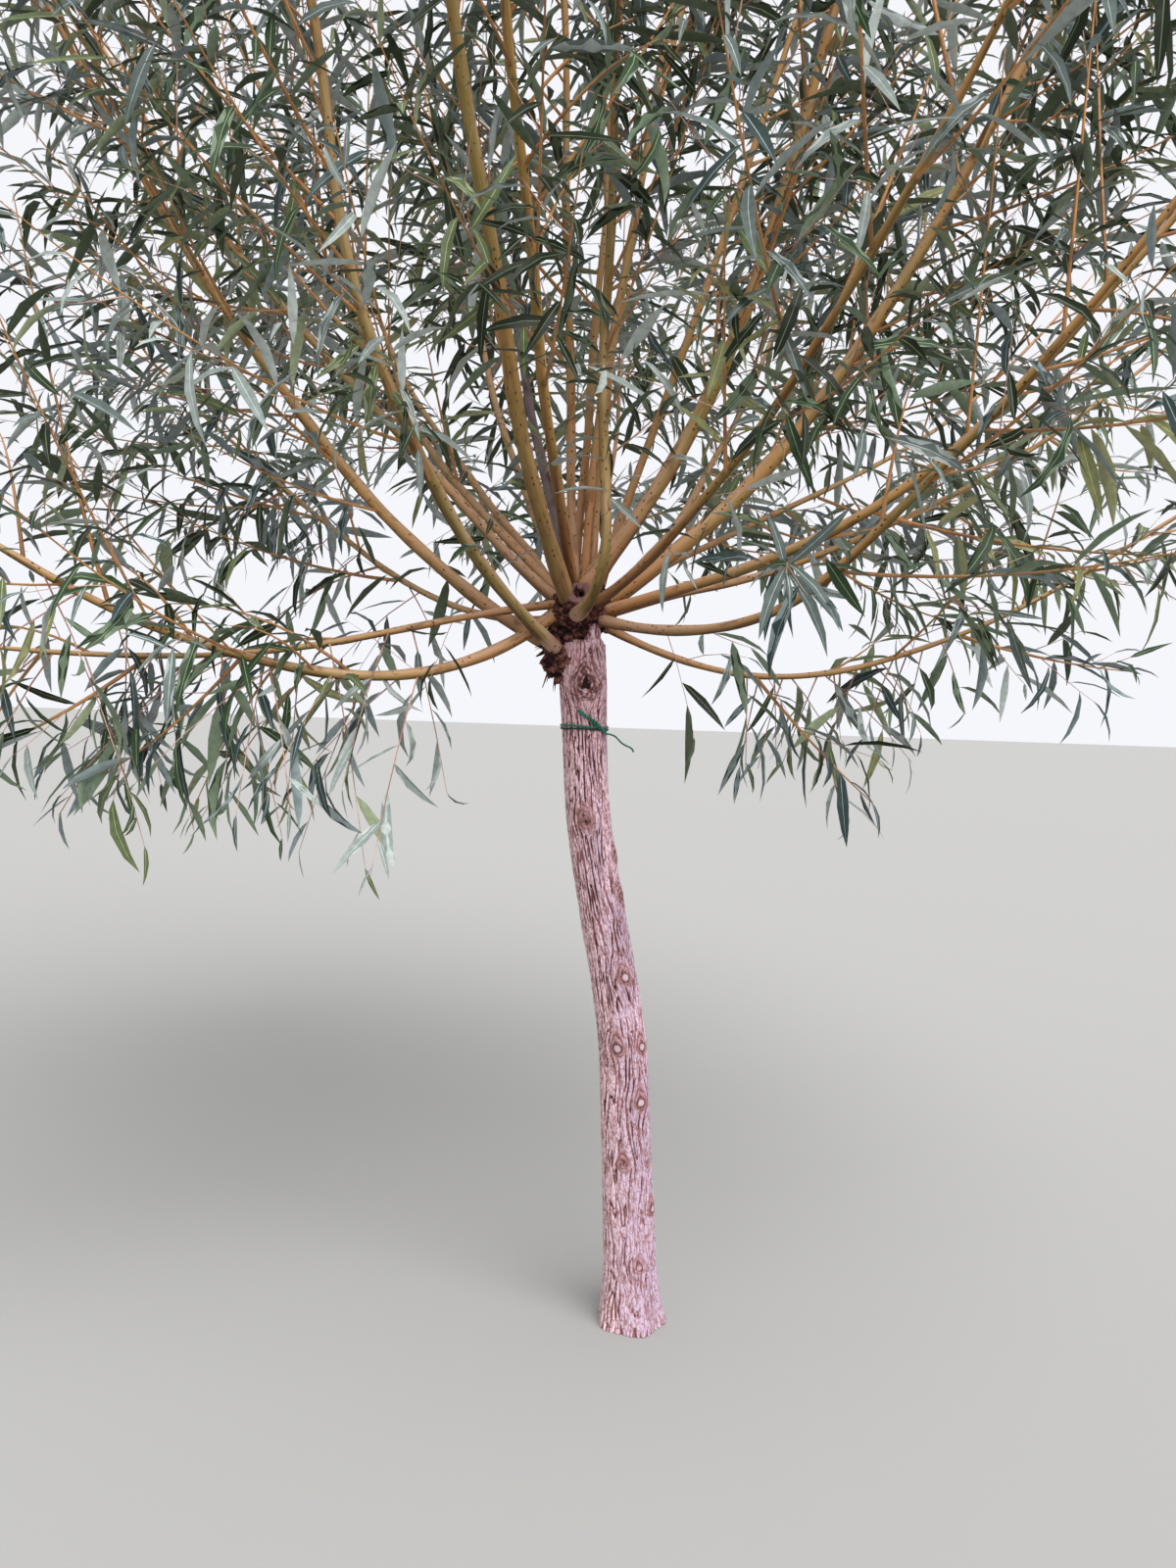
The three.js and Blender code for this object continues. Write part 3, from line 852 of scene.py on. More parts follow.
def trunk_girth(height, angle):
    """Radius without knots: the taper, lobes that die out from the ground up, a shoulder and flutes."""
    lobes = 1 + ROOT_LOBE_DEPTH * np.cos(ROOT_LOBES * angle)
    flare = ROOT_FLARE * lobes * np.exp(-height / ROOT_FLARE_HEIGHT)
    shoulder = SHOULDER_SWELL * ease(height, NECK_HEIGHT, TRUNK_HEIGHT)
    flutes = RIDGE_DEPTH * np.sin(RIDGES * angle + height / RIDGE_WINDING)
    return trunk_taper(height) + flare + shoulder + flutes


def round_trunk(height, angle, radius):
    """Points at a height and angle, a radius away from the trunk's middle."""
    return np.stack([trunk_middle(height) + radius * np.cos(angle), radius * np.sin(angle), height], -1)


def bark_noise(height, angle, cells, pitch, seed, shift=0):
    """Gradient noise on the trunk, with a number of cells round it and a pitch along it."""
    return net_noise((angle / (2 * np.pi)) % 1 * cells + shift, height / pitch, cells, seed)


def knot_forms(height, angle):
    """The knots' swelling, collar, cut face, open wound, ring grooves and dark rim, and the bark's bend.

    The swelling is a bell. The collar is an egg round the knot, drawn out upwards. The cut face is a disc of
    a quarter of the knot's width, and ring grooves run round it a few millimetres apart. An open wound is
    taller than wide and has a ragged edge, and the bark round it is the dark rim. The bend is the angle by
    which the bark's fissures give way to the knot.
    """
    taper = trunk_taper(height)
    forms = np.zeros((6, *height.shape))
    bend = np.zeros(height.shape)
    for knot in KNOTS:
        across = turn_from(angle, knot.angle) * taper
        upwards = height - knot.height
        away = np.hypot(across, upwards)
        round_it = np.arctan2(upwards, across)
        narrower = lerp(1, 1.5, ease(upwards, 0, 2 * knot.width))
        egg = np.hypot(across * narrower, upwards * np.where(upwards > 0, 0.5, 0.9))
        ragged = 1 + 0.24 * np.sin(3 * round_it + knot.height * 40)
        ragged = ragged + 0.2 * np.sin(5 * round_it + knot.height * 70)
        hole = np.hypot(across * 1.35, upwards * 0.8) / ragged
        face = knot.within(away, FACE_EDGE) * fade(knot.opened, 0, HALF_OPEN)
        wound = knot.within(hole, WOUND_EDGE) * knot.opened
        collar = knot.within(egg * (1 + 0.08 * np.sin(4 * round_it + knot.height * 50)), COLLAR_EDGE)
        crooked = 3.2 * net_noise(across / 0.012 + 40, upwards / 0.018 + 40, cells=4096, seed=10)
        waves = 0.5 + 0.5 * np.cos(lerp(egg, hole, knot.opened) * 2 * np.pi / RING_PITCH + crooked)
        around = hill(away - 0.38 * knot.width, 0.11 * knot.width) * (1 - knot.opened)
        ring = np.maximum(around, lerp(0.7, 0.8, knot.opened) * collar * waves)
        lip = WOUND_LIP * knot.opened * hill(hole - 0.62 * knot.width, 0.2 * knot.width)
        found = (
            knot.depth * hill(away, knot.width) + lip,
            collar * lerp(1, 0.45, ease(knot.opened, HALF_OPEN, 1)),
            face,
            wound,
            ring * (1 - face) * (1 - wound),
            knot.within(hole, RIM_EDGE) * knot.opened,
        )
        forms = np.maximum(forms, np.stack(found))
        bend = bend - 0.65 * across / taper * hill(away, 1.1 * knot.width)
    return (*forms, bend)


def away_from_zero(field, step_across, step_along):
    """Distance of each place from the nearest zero of a field: its value over the length of its slope."""
    across = (np.roll(field, -1, 1) - np.roll(field, 1, 1)) / (2 * step_across)
    along = np.gradient(field, step_along, axis=0)
    return np.abs(field) / np.maximum(np.hypot(across, along), 1e-3)


def fissures(height, angle):
    """Depth of the bark's fissures, from 0 on the plates to 1, and how far a place lies from a deep one.

    A fissure runs where drawn-out noise passes through zero, so the fissures wander, part and meet again.
    Each has an even width, and it is shallower where a slower noise is low.
    """
    steps = (FOOT_RADIUS * 2 * np.pi / height.shape[1], TRUNK_HEIGHT / height.shape[0])
    sway = 1.1 * bark_noise(height, angle, cells=7, pitch=0.15, seed=1)
    wide = bark_noise(height, angle, cells=27, pitch=0.15, seed=2, shift=sway)
    wide = wide + 0.25 * bark_noise(height, angle, cells=54, pitch=0.05, seed=3, shift=sway)
    fine = bark_noise(height, angle, cells=50, pitch=0.06, seed=4, shift=2 * sway)
    strength = lerp(0.5, 1, ease(bark_noise(height, angle, cells=12, pitch=0.16, seed=5), -0.4, 0.2))
    broken = lerp(0.3, 1, ease(bark_noise(height, angle, cells=36, pitch=0.035, seed=8), -0.45, 0.05))
    wider = lerp(0.7, 1.5, ease(bark_noise(height, angle, cells=20, pitch=0.07, seed=9), -0.5, 0.5))
    away = away_from_zero(wide, *steps)
    deep = fade(away, DEEP_FISSURE[0] * wider, DEEP_FISSURE[1] * wider) * strength * broken
    shallow = fade(away_from_zero(fine, *steps), *SHALLOW_FISSURE) * 0.75
    return np.maximum(deep, shallow * lerp(1, 0.4, strength)), away


def trunk_top(angle):
    """Height of the ragged upper edge: noise, and a torn strip that stands up at the front right."""
    strip = hill(turn_from(angle, STRIP_HEADING), 0.26)
    ragged = bark_noise(0 * angle, angle, cells=20, pitch=1, seed=6)
    return TRUNK_EDGE + STRIP_RISE * strip + EDGE_ROUGHNESS * ragged


def trunk_surface(groove_depth):
    """The barked trunk as one closed spindle of rows and columns, and the marks its finish reads.

    Its radius is the girth plus swellings, plates and grain, less fissures, rings, cut faces and wounds.
    The mark skin is the place on the trunk's own surface, pushed aside round the knots.
    """
    angle = round_angles(TRUNK_COLUMNS) - np.pi
    share = np.linspace(0, 1, TRUNK_ROWS)[:, None]
    height = share * trunk_top(angle)
    angle = np.broadcast_to(angle, height.shape)
    swelling, collar, face, wound, ring, rim, bend = knot_forms(height, angle)
    groove, away = fissures(height, angle + bend)
    smooth = smooth_neck(height, angle)
    calm = (1 - 0.55 * collar) * (1 - face) * (1 - wound) * lerp(1, 0.45, smooth)
    groove = groove * calm
    grain = bark_noise(height, angle, cells=88, pitch=0.009, seed=7)
    strip = hill(turn_from(angle, STRIP_HEADING), 0.3) * ease(height, *STRIP_HEIGHTS)
    radius = trunk_girth(height, angle) + swelling + STRIP_THICKNESS * strip
    radius = radius + PLATE_RISE * ease(away, 0, PLATE_ROUNDING) * calm + GRAIN_DEPTH * grain * calm
    radius = radius - groove_depth * groove - RING_DEPTH * ring - FACE_DEPTH * face
    radius = radius - WOUND_DEPTH * wound * (1 + 0.5 * grain) + RIM_DEPTH * rim * grain
    radius = radius * (1 - 0.25 * ease(share, 1 - 3 / TRUNK_ROWS, 1))
    rings = round_trunk(height, angle, radius)
    top = np.array([[trunk_middle(TRUNK_HEIGHT), 0.0, TRUNK_TOP]])
    marks = {
        "groove": groove * lerp(0.72, 1, ease(height, *FLAT_FOOT_HEIGHTS)),
        "collar": collar,
        "face": face,
        "wound": wound,
        "ring": ring,
        "rim": rim,
        # 1 at the foot, 0 from the upper trunk on; the paler upper trunk is painted light.
        "foot": fade(height, *GREY_FOOT_PAINTED_LIGHT_HEIGHTS),
        # Painted light: 1 on the trunk's left side, 0 on its right.
        "sunny": 0.5 - 0.5 * np.cos(angle),
        "neck": np.maximum(smooth, 0.6 * ease(height, *NECK_HEIGHTS)),
    }
    marks = {label: capped(values) for label, values in marks.items()}
    skin = np.stack([FOOT_RADIUS * np.cos(angle + bend), FOOT_RADIUS * np.sin(angle + bend), height], -1)
    marks["skin"] = np.pad(skin.reshape(-1, 3), ((1, 1), (0, 0)))
    return spindles(rings[None], np.zeros((1, 3)), top), marks


def smooth_neck(height, angle):
    """1 on the smooth grey bark at the top left of the trunk, 0 elsewhere."""
    return hill(turn_from(angle, SMOOTH_HEADING), 0.75) * ease(height, *SMOOTH_HEIGHTS)


def trunk_bark(settings):
    """Pale pink-grey plates, red-brown fissures with painted shade on their floors, orange-brown collars,
    pale cut faces and dark wounds, partly painted shade.
    """
    bark = Finish("trunk_bark", 0.92, "plate", settings)
    skin = bark.bent(bark.mark("skin", "Vector"), 26, 0.006)
    streak = bark.grain(skin, 0.12, 150, 4)
    patch = bark.grain(skin, 0.4, 14, 3)
    tufts = bark.grain(skin, 0.45, 210, 3)
    scratches = bark.grain(skin, 0.15, 250, 2).step(0.53, 0.62)
    flakes = bark.edges(bark.stretched(skin, (1, 1, 0.38)), 135).step(0.0, 0.12)
    speckle = bark.noise(skin, 420, 2)
    groove = bark.mark("groove") + (streak - 0.5) * 0.3
    plate = bark.layers(
        "plate",
        ((patch * 1.6 - 0.3).step(0.2, 0.8), "grey"),
        # Greyer bark at the foot, fading out upwards; the paler bark under the crown is painted light against
        # the crown's shade.
        (bark.mark("foot") * 0.8, "grey"),
        # Painted light: the left side is tinted warmer for how the light falls on it.
        ((bark.mark("sunny") + (patch - 0.5) * 0.8).step(0.35, 0.95) * 0.85, "sunny"),
        (bark.mark("neck") * 0.85, "neck"),
        (streak.step(0.5, 0.74) * 0.55, "warm"),
        ((1 - flakes) * tufts.step(0.35, 0.6), "groove"),
        (tufts.step(0.54, 0.7) * 0.5, "warm"),
        (scratches * 0.7, "groove"),
    )
    collar = bark.layers(
        "collar",
        (speckle.step(0.45, 0.8), "warm"),
        (tufts.step(0.46, 0.6) * 0.6, plate),
    )
    colour = bark.layers(
        plate,
        (groove.step(0.2, 0.5), "groove"),
        # Dark bark and painted shade: the floors of the deepest fissures are near black.
        (groove.step(0.45, 0.8) * 0.95, "crack"),
        (bark.mark("collar") * 0.75, collar),
        (bark.mark("rim") * tufts.step(0.36, 0.6), "rim"),
        # Dark bark and painted shade in the ring grooves round the knots.
        ((bark.mark("ring") + (tufts - 0.5) * 0.8).step(0.28, 0.8) * 0.85, "crack"),
        (bark.mark("face"), "face"),
        # Dark wood and painted shade: the hollows of open knots are near black.
        ((bark.mark("wound") + (tufts - 0.5) * 0.9).step(0.15, 0.6) * 0.95, "wound"),
        ((speckle - 0.5) * 0.6, "crack"),
    )
    relief = streak * 0.4 + flakes * 0.4 + tufts * 0.4 + speckle * 0.2 - scratches * 0.4
    return bark.wear(Base_Color=colour, Normal=bark.bump(relief, 0.7, 0.0018))


# Head

HEAD = np.array([float(trunk_middle(HEAD_HEIGHT)), 0.0, HEAD_HEIGHT])


def blob(centre, radius, rows, columns, swell):
    """A round closed body: a ball whose radius is multiplied by swell of each direction."""
    height = np.linspace(-90, 90, rows + 2)[1:-1]
    heading = np.arange(columns) * 360 / columns
    ways = towards(heading[None, :], height[:, None])
    poles = np.array([[0.0, 0.0, -1.0], [0.0, 0.0, 1.0]])
    rings = centre + ways * (radius * swell(ways))[..., None]
    ends = centre + poles * (radius * swell(poles))[..., None]
    return spindles(rings[None], ends[:1], ends[1:])


def join(surfaces):
    """Several sets of points, quads and fans as one."""
    points, quads, fans = zip(*surfaces)
    starts = np.cumsum([0] + [len(part) for part in points])
    return (
        np.concatenate(points),
        np.concatenate([part + start for part, start in zip(quads, starts)]),
        np.concatenate([part + start for part, start in zip(fans, starts)]),
    )


def callus_swell(ways):
    """The head's callus: wide and narrow lumps, drawn in under its front right for the torn bark."""
    opening = ease(ways @ towards(-55, 0), -0.2, 0.7)
    under = ease(-ways[..., 2], 0.05, 0.6)
    wide = 0.09 * lumps(ways, 0.75, 11)
    narrow = 0.06 * lumps(ways, 0.28, 12) + 0.03 * lumps(ways, 0.12, 13)
    return (1 + wide + narrow) * (1 - lerp(0.12, 0.36, opening) * under)


def burl_swell(ways):
    """The burl: knuckled lumps and a broken surface."""
    return 1 + 0.22 * lumps(ways, 1.0, 14) + 0.18 * lumps(ways, 0.36, 15) + 0.08 * lumps(ways, 0.14, 16)


def stub(start, way, length, radius, seed):
    """A broken-off twig: a tube that narrows a little, with a jagged end."""
    rows, sides = STUB_GRID
    share = np.linspace(0, 1, rows)[:, None]
    draw = np.random.default_rng(seed)
    jag = 1 + 0.25 * draw.uniform(-1, 1, sides) * ease(share, 0.6, 1)
    side = unit(np.cross(way, UP))
    thick = radius * (1 - 0.35 * share) * (1 + 0.12 * draw.uniform(-1, 1, (rows, sides)))
    ring = circle(side, np.cross(way, side), sides)
    rings = start + (share * jag * length)[..., None] * way + thick[..., None] * ring
    return spindles(rings[None], start[None], (start + way * length * 0.8)[None])


def collar(limb):
    """Callus where a limb leaves the head: a ragged ball a little wider than the limb's root."""
    way = towards(limb.heading, limb.rises[0])
    turned = 0.7 * limb.number

    def swell(ways):
        ragged = 0.14 * lumps(ways, 0.7, 50 + limb.number) + 0.07 * lumps(ways, 0.25, 90 + limb.number)
        return (1 + ragged) * (1 - 0.12 * np.cos(3 * np.arctan2(ways[..., 1], ways[..., 0]) + turned))

    centre = limb.route[0] + limb.girth * (0.16 * way - 0.10 * UP)
    return blob(centre, COLLAR_SHARE * limb.girth, *COLLAR_GRID, swell)


def dead_stub():
    """A sawn stub that has died back: a rim round a hollow, open at the front."""
    rows, sides = DEAD_STUB_GRID
    way = towards(*DEAD_STUB_WAY)
    start = HEAD + np.array(DEAD_STUB_RIM) - DEAD_STUB_LENGTH * way
    end = start + (DEAD_STUB_LENGTH - DEAD_STUB_HOLLOW) * way
    side = unit(np.cross(way, UP))
    turn = round_angles(sides)
    share = np.linspace(0, 1, rows)[:, None]
    outside = ease(share, 0, 0.5)
    face = ease(share, 0.5, 0.72)
    inside = ease(share, 0.74, 1.0)
    draw = np.random.default_rng(DEAD_STUB_SEED)
    jag = 1 + 0.10 * draw.uniform(-1, 1, sides) * outside
    rough = 1 + 0.06 * draw.uniform(-1, 1, (rows, sides))
    radius = DEAD_STUB_RADIUS * (1 + 0.10 * np.sin(2 * turn + 1) + 0.06 * np.sin(5 * turn))
    radius = radius * lerp(1.1, 0.95, outside) * lerp(1, 0.46, face) * lerp(1, 0.4, inside) * rough
    along = (DEAD_STUB_LENGTH * outside - 0.004 * face - 0.018 * inside) * jag
    ring = circle(side, np.cross(way, side), sides)
    rings = start + along[..., None] * way + radius[..., None] * ring
    marks = {"hollow": capped(inside * np.ones(sides), end=1)}
    return spindles(rings[None], start[None], end[None]), marks


def head_surface(limbs):
    """The callus with a collar round each limb, the burl under its left, and the broken stubs on both."""
    middle = HEAD + BURL_OUT * towards(BURL_ANGLE, 0) - BURL_DROP * UP
    parts = [blob(HEAD, CALLUS_RADIUS, *CALLUS_GRID, callus_swell)]
    parts += [collar(limb) for limb in limbs if limb.number not in PLAIN_ENDS]
    for offset, radius, rows in BURL_LUMPS:
        parts.append(blob(middle + np.array(offset), radius, rows, rows * 3 // 2, burl_swell))
    for root, stubs, first_seed in ((middle, BURL_STUBS, BURL_STUB_SEED), (HEAD, HEAD_STUBS, HEAD_STUB_SEED)):
        for seed, (heading, rise, length, radius) in enumerate(stubs, first_seed):
            parts.append(stub(root, towards(heading, rise), length, radius, seed))
    return join(parts)


def stub_wood(settings):
    """Weathered pinkish wood of the dead stub, cracked outwards, with painted shade in its hollow."""
    wood = Finish("stub_wood", 0.9, "stub", settings)
    grain = wood.noise(wood.stretched(wood.place(), (1, 0.3, 1)), 190, 3)
    colour = wood.layers(
        "stub",
        (wood.noise(wood.place(), 60, 2).step(0.4, 0.65) * 0.5, "crumb"),
        (grain.step(0.5, 0.66) * 0.7, "callus"),
        # Painted shade inside the hollow.
        (wood.mark("hollow").step(0.1, 0.7), "crease"),
    )
    return wood.wear(Base_Color=colour, Normal=wood.bump(grain, 0.8, 0.002))


def callus_bark(settings):
    """Dark red-brown crumbling callus, paler on its lumps, with painted shade nearly black in its creases."""
    bark = Finish("callus_bark", 0.95, "callus", settings)
    coarse = bark.noise(bark.place(), 46, 5, 0.8)
    crumbs = bark.cells(bark.place(), 120)
    fine = bark.noise(bark.place(), 260, 3)
    colour = bark.layers(
        # Painted shade: nearly black where the relief is low.
        "crease",
        (coarse.step(0.38, 0.68), "callus"),
        ((fine * coarse * 4).step(1.0, 1.7) * 0.7, "crumb"),
    )
    relief = coarse * 0.6 + (1 - crumbs) * 0.25 + fine * 0.15
    return bark.wear(Base_Color=colour, Normal=bark.bump(relief, 0.9, 0.006))


# Growth: the source's rule for limbs and shoots


def crown_share(points):
    """1 on the crown's edge and less inside it: a rounded box's norm below its middle, a ball's above."""
    out = np.hypot(points[..., 0] - CROWN_SHIFT, points[..., 1]) / CROWN_HALF_WIDTH
    up = np.abs(points[..., 2] - CROWN_HEIGHT) / CROWN_HALF_HEIGHT
    power = np.where(points[..., 2] < CROWN_HEIGHT, CROWN_SQUARENESS, 2)
    return (out**power + up**power) ** (1 / power)


def spread_seats(limbs):
    """Roots are pushed apart in pairs over the head, half the shortfall each, until all stand clear."""
    seats = [towards(limb.heading if limb.root is None else limb.root, limb.seat) for limb in limbs]
    for _ in range(SPREAD_ROUNDS):
        for i, one in enumerate(limbs):
            for k in range(i + 1, len(limbs)):
                wanted = (one.girth + limbs[k].girth) / 2 + ROOT_SPACING
                apart = seats[i] - seats[k]
                length = math.sqrt(apart @ apart)
                short = wanted / HEAD_RADIUS - length
                if short > 0 and one.on_burl == limbs[k].on_burl:
                    push = apart / length * short / 2
                    seats[i] = unit(seats[i] + push)
                    seats[k] = unit(seats[k] - push)
    return seats


def set_route(limb, seat):
    """Points a step apart from the root on, each further along the heading by the rise at that distance.

    The reach ends where a spray at the tip would touch the crown's edge, or at a dead limb's own length.
    The route runs on for the leader's length.
    """
    steps = np.arange(LIMB_MOST_STEPS)
    rise = np.interp((steps + 0.5) * LIMB_STEP, RISE_PLACES, limb.rises)
    start = HEAD + seat * ROOT_DEPTH * HEAD_RADIUS - (BURL_DROP if limb.on_burl else 0) * UP
    route = np.vstack([start, start + np.cumsum(towards(limb.heading, rise) * LIMB_STEP, 0)])
    distance = (np.arange(len(route)) + 0.5) * LIMB_STEP
    edge = limb.vigour * (1 - SPRAY_LENGTH / CROWN_HALF_WIDTH)
    grown = (distance > 2 * BARE_LENGTH) & (crown_share(route) > edge)
    if limb.dead:
        grown = grown | (distance > limb.bare)
    last = int(np.argmax(grown))
    limb.reach = last * LIMB_STEP
    limb.route = route[: last + 1 + (0 if limb.dead else round(LEADER_LENGTH / LIMB_STEP))]


def on_limb(limb, distance):
    """Place on a limb at distances from its root, and the way along it there."""
    known = np.arange(len(limb.route)) * LIMB_STEP
    point = np.stack([np.interp(distance, known, limb.route[:, axis]) for axis in range(3)], -1)
    return point, towards(limb.heading, np.interp(distance, RISE_PLACES, limb.rises))


def limb_radius(limb, distance):
    """A taper to the reach by a power of the distance's share, and a quicker one along the leader."""
    taper = lerp(limb.girth / 2, LIMB_TIP_RADIUS, (distance / limb.reach) ** limb.early)
    leader = lerp(LIMB_TIP_RADIUS, LEADER_TIP_RADIUS, (distance - limb.reach) / LEADER_LENGTH)
    return np.where(distance < limb.reach, taper, leader)


def distance_to(points, route):
    """Shortest distance from each point to a route's points."""
    apart = points[..., None, :] - route
    return np.sqrt(np.square(apart).sum(-1).min(-1))


def in_own_space(limb, limbs, points):
    """Whether points lie in the crown, clear of the limb's own bough, and nearest to its own stem."""
    bare_steps = math.floor(limb.bare / LIMB_STEP) + 1
    inside = crown_share(points) <= max(limb.vigour, 1)
    inside &= distance_to(points, limb.route[:bare_steps]) > limb.girth / 2 + BOUGH_CLEARANCE
    own = distance_to(points, limb.route[bare_steps - 1 : reach_steps(limb)])
    for other in limbs:
        if other is not limb:
            inside &= distance_to(points, other.route[: reach_steps(other)]) > own
    return inside


def reach_steps(limb):
    """How many of the route's points lie within the limb's reach."""
    return round(limb.reach / LIMB_STEP) + 1


@dataclass
class Shoots(Rows):
    """Shoots as rows.

    base     where it starts
    start    its way there
    side     a way square to that
    lift     how far it bends up over its length
    thick    radius at its foot
    thin     radius at its tip
    spray    number of its spray
    place    how far out on its limb it grows
    """

    base: np.ndarray
    start: np.ndarray
    side: np.ndarray
    length: np.ndarray
    lift: np.ndarray
    thick: np.ndarray
    thin: np.ndarray
    spray: np.ndarray
    place: np.ndarray

    def at(self, share):
        """Points and ways along each shoot: a straight run plus a parabola upwards."""
        ahead = (self.length[:, None] * share)[..., None]
        rise = (self.length[:, None] * self.lift[:, None] * share * share / 2)[..., None]
        point = self.base[:, None] + ahead * self.start[:, None] + rise * UP
        way = unit(self.start[:, None] + (self.lift[:, None] * share)[..., None] * UP)
        return point, way


def sprout(base, start, out, *numbers):
    """Shoots from arrays of any one shape. The side is square to start and out.

    The numbers are length, lift, thick, thin, spray and place.
    """
    vectors = (base, start, unit(np.cross(start, out)))
    numbers = np.broadcast_arrays(*numbers)
    return Shoots(*(rows.reshape(-1, 3) for rows in vectors), *(rows.ravel() for rows in numbers))


def in_box(points, margin):
    """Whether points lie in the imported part's box, grown by a margin."""
    low, high = np.array(CAD_BOX[0]) - margin, np.array(CAD_BOX[1]) + margin
    return ((points > low) & (points < high)).all(-1)


def trim(shoots, crown):
    """Ends each shoot where it leaves the crown, and drops those of which little is left."""
    share = np.linspace(0.1, 1, 10)[None]
    point, _ = shoots.at(share)
    inside = (crown_share(point) <= crown) & in_box(point, BOX_MARGIN)
    inside = np.logical_and.accumulate(inside, 1)
    kept = inside.sum(1) / share.shape[1]
    shoots.length = shoots.length * kept
    shoots.lift = shoots.lift * kept
    return shoots.only(kept > LEAST_KEPT)


def shoots_on(limb, limbs, closer):
    """A limb's shoots by the source's rule: placed evenly, turned by the golden angle and longer low down.

    Each is the first of several tries that keeps to the limb's own space, and is carried on as far as the
    source's last spray reaches.
    """
    spacing = SHOOT_EVERY / (closer * limb.leafy) * (1 - WEEPING_CLOSER * limb.weep)
    count = round((limb.reach - limb.bare) / spacing)
    order, attempt = np.meshgrid(np.arange(count), np.arange(SHOOT_TRIES), indexing="ij")
    place = (order + 0.5) / count
    point, along = on_limb(limb, lerp(limb.bare + FIRST_SHOOT, limb.reach - LAST_SHOOT, place))
    luck = partial(chance, limb.number, order)
    turn = np.radians(GOLDEN_ANGLE * (order + attempt * 2) + 360 * chance(limb.number, 0, SHOOT_TURNS))
    spread = np.radians(lerp(*SHOOT_SPREAD, luck(SHOOT_SPREADS)))
    start, out = leaning(along, towards(limb.heading - 90, 0), turn[..., None], spread[..., None])
    grown = lerp(*SHOOT_GROWTHS, luck(SHOOT_GROWS)) * LONGEST_TRY * SHORTER_EACH_TRY**attempt
    source_length = lerp(*SHOOT_LENGTHS, place) * grown
    hangs = limb.weep * HANGING_SHARE > luck(SHOOT_HANGS)
    lift = np.where(hangs, SHOOT_HANG, SHOOT_LIFT)
    length = TIP_LEAF_PLACE * source_length + SPRAY_LENGTH * lerp(*SHOOT_END_SHARES, luck(SHOOT_ENDS))
    length = length * np.where(hangs, HANGING_SHORTER, 1) * limb.shorter
    thick = lerp(*SHOOT_RADII, place) * lerp(*SHOOT_GIRTHS, luck(SHOOT_GIRTH))
    lift = lift * length / source_length
    spray = limb.number * LIMB_SPRAYS + order
    tries = sprout(point, start, out, length, lift, thick, SHOOT_TIP_RADIUS, spray, place)
    spots, _ = tries.at(np.array(TRY_PLACES))
    fits = in_own_space(limb, limbs, spots).all(1).reshape(count, SHOOT_TRIES)
    rows = (np.arange(count) * SHOOT_TRIES + np.argmax(fits, 1))[fits.any(1)]
    return trim(tries.only(rows), max(limb.vigour, 1.0))


def sprigs_on(limb):
    """A few short thin shoots on the bare part of a bough, wherever chance puts them."""
    order = np.arange(SPRIGS)
    luck = partial(chance, limb.number, order)
    place = (order + luck(SPRIG_PLACE)) / SPRIGS
    point, along = on_limb(limb, lerp(*SPRIG_PLACES, place))
    side = np.broadcast_to(towards(limb.heading - 90, 0), point.shape)
    turn = (2 * np.pi * luck(SPRIG_TURNS))[:, None]
    out = leaning(along, side, turn, 0)[1]
    start = unit(0.55 * along + 0.85 * out)
    length = lerp(*SPRIG_LENGTHS, luck(SPRIG_LENGTH))
    lift = lerp(*SPRIG_LIFTS, luck(SPRIG_LIFT))
    spray = limb.number * LIMB_SPRAYS + SPRIG_SPRAY + order
    sprigs = sprout(point, start, out, length, lift, *SPRIG_RADII, spray, place)
    return sprigs.only(luck(SPRIG_GROWS) > SPRIGS_MISSING)


def tassels_on(limb):
    """Thin twigs that hang from a weeping limb, placed by chance in equal lengths of it."""
    count, longest, last = limb.tassels
    order = np.arange(count)
    luck = partial(chance, limb.number, order)
    place = (order + luck(TASSEL_PLACE)) / count
    point, along = on_limb(limb, lerp(FIRST_TASSEL, last, place))
    start = unit(towards(360 * luck(TASSEL_TURNS), TASSEL_FALL) + 0.4 * along)
    length = longest * lerp(*TASSEL_GROWTHS, luck(TASSEL_LENGTH))
    lift = lerp(*TASSEL_LIFTS, luck(TASSEL_LIFT))
    spray = limb.number * LIMB_SPRAYS + TASSEL_SPRAY + order
    return sprout(point, start, along + 0.1 * UP, length, lift, *TASSEL_RADII, spray, place)


def twigs_on(shoots, each, seed):
    """Finer twigs on shoots by the same rule: spaced evenly, turned by the golden angle, shorter outwards."""
    draw = np.random.default_rng(seed)
    count = len(shoots.length)
    order = np.arange(each)[None] + draw.uniform(-TWIG_SHIFT, TWIG_SHIFT, (count, each))
    share = lerp(*TWIG_PLACES, (order + 0.5) / each)
    point, along = shoots.at(share)
    turn = np.radians(GOLDEN_ANGLE) * np.arange(each) + draw.uniform(0, 2 * np.pi, (count, 1))
    spread = np.radians(draw.uniform(*TWIG_SPREAD, (count, each)))
    side = unit(np.cross(along, shoots.side[:, None]))
    start, out = leaning(along, side, turn[..., None], spread[..., None])
    length = lerp(*TWIG_LENGTHS, share) * draw.uniform(*TWIG_GROWTHS, (count, each))
    likely = np.where(shoots.lift < HANGS_BELOW, TWIGS_GROWN_HANGING, TWIGS_GROWN)
    likely = np.clip(shoots.length / FULLY_TWIGGED, 0.4, 1) * likely
    kept = (draw.uniform(0, 1, (count, each)) < likely[:, None]).ravel()
    lift = draw.uniform(*TWIG_LIFTS, (count, each)) + TWIG_FOLLOWS * np.minimum(shoots.lift, 0)[:, None]
    spray = shoots.spray[:, None] * TWIG_SPRAYS + np.arange(each)
    twigs = sprout(point, start, out, length, lift, *TWIG_RADII, spray, shoots.place[:, None])
    return trim(twigs.only(kept), TWIGS_CROWN)


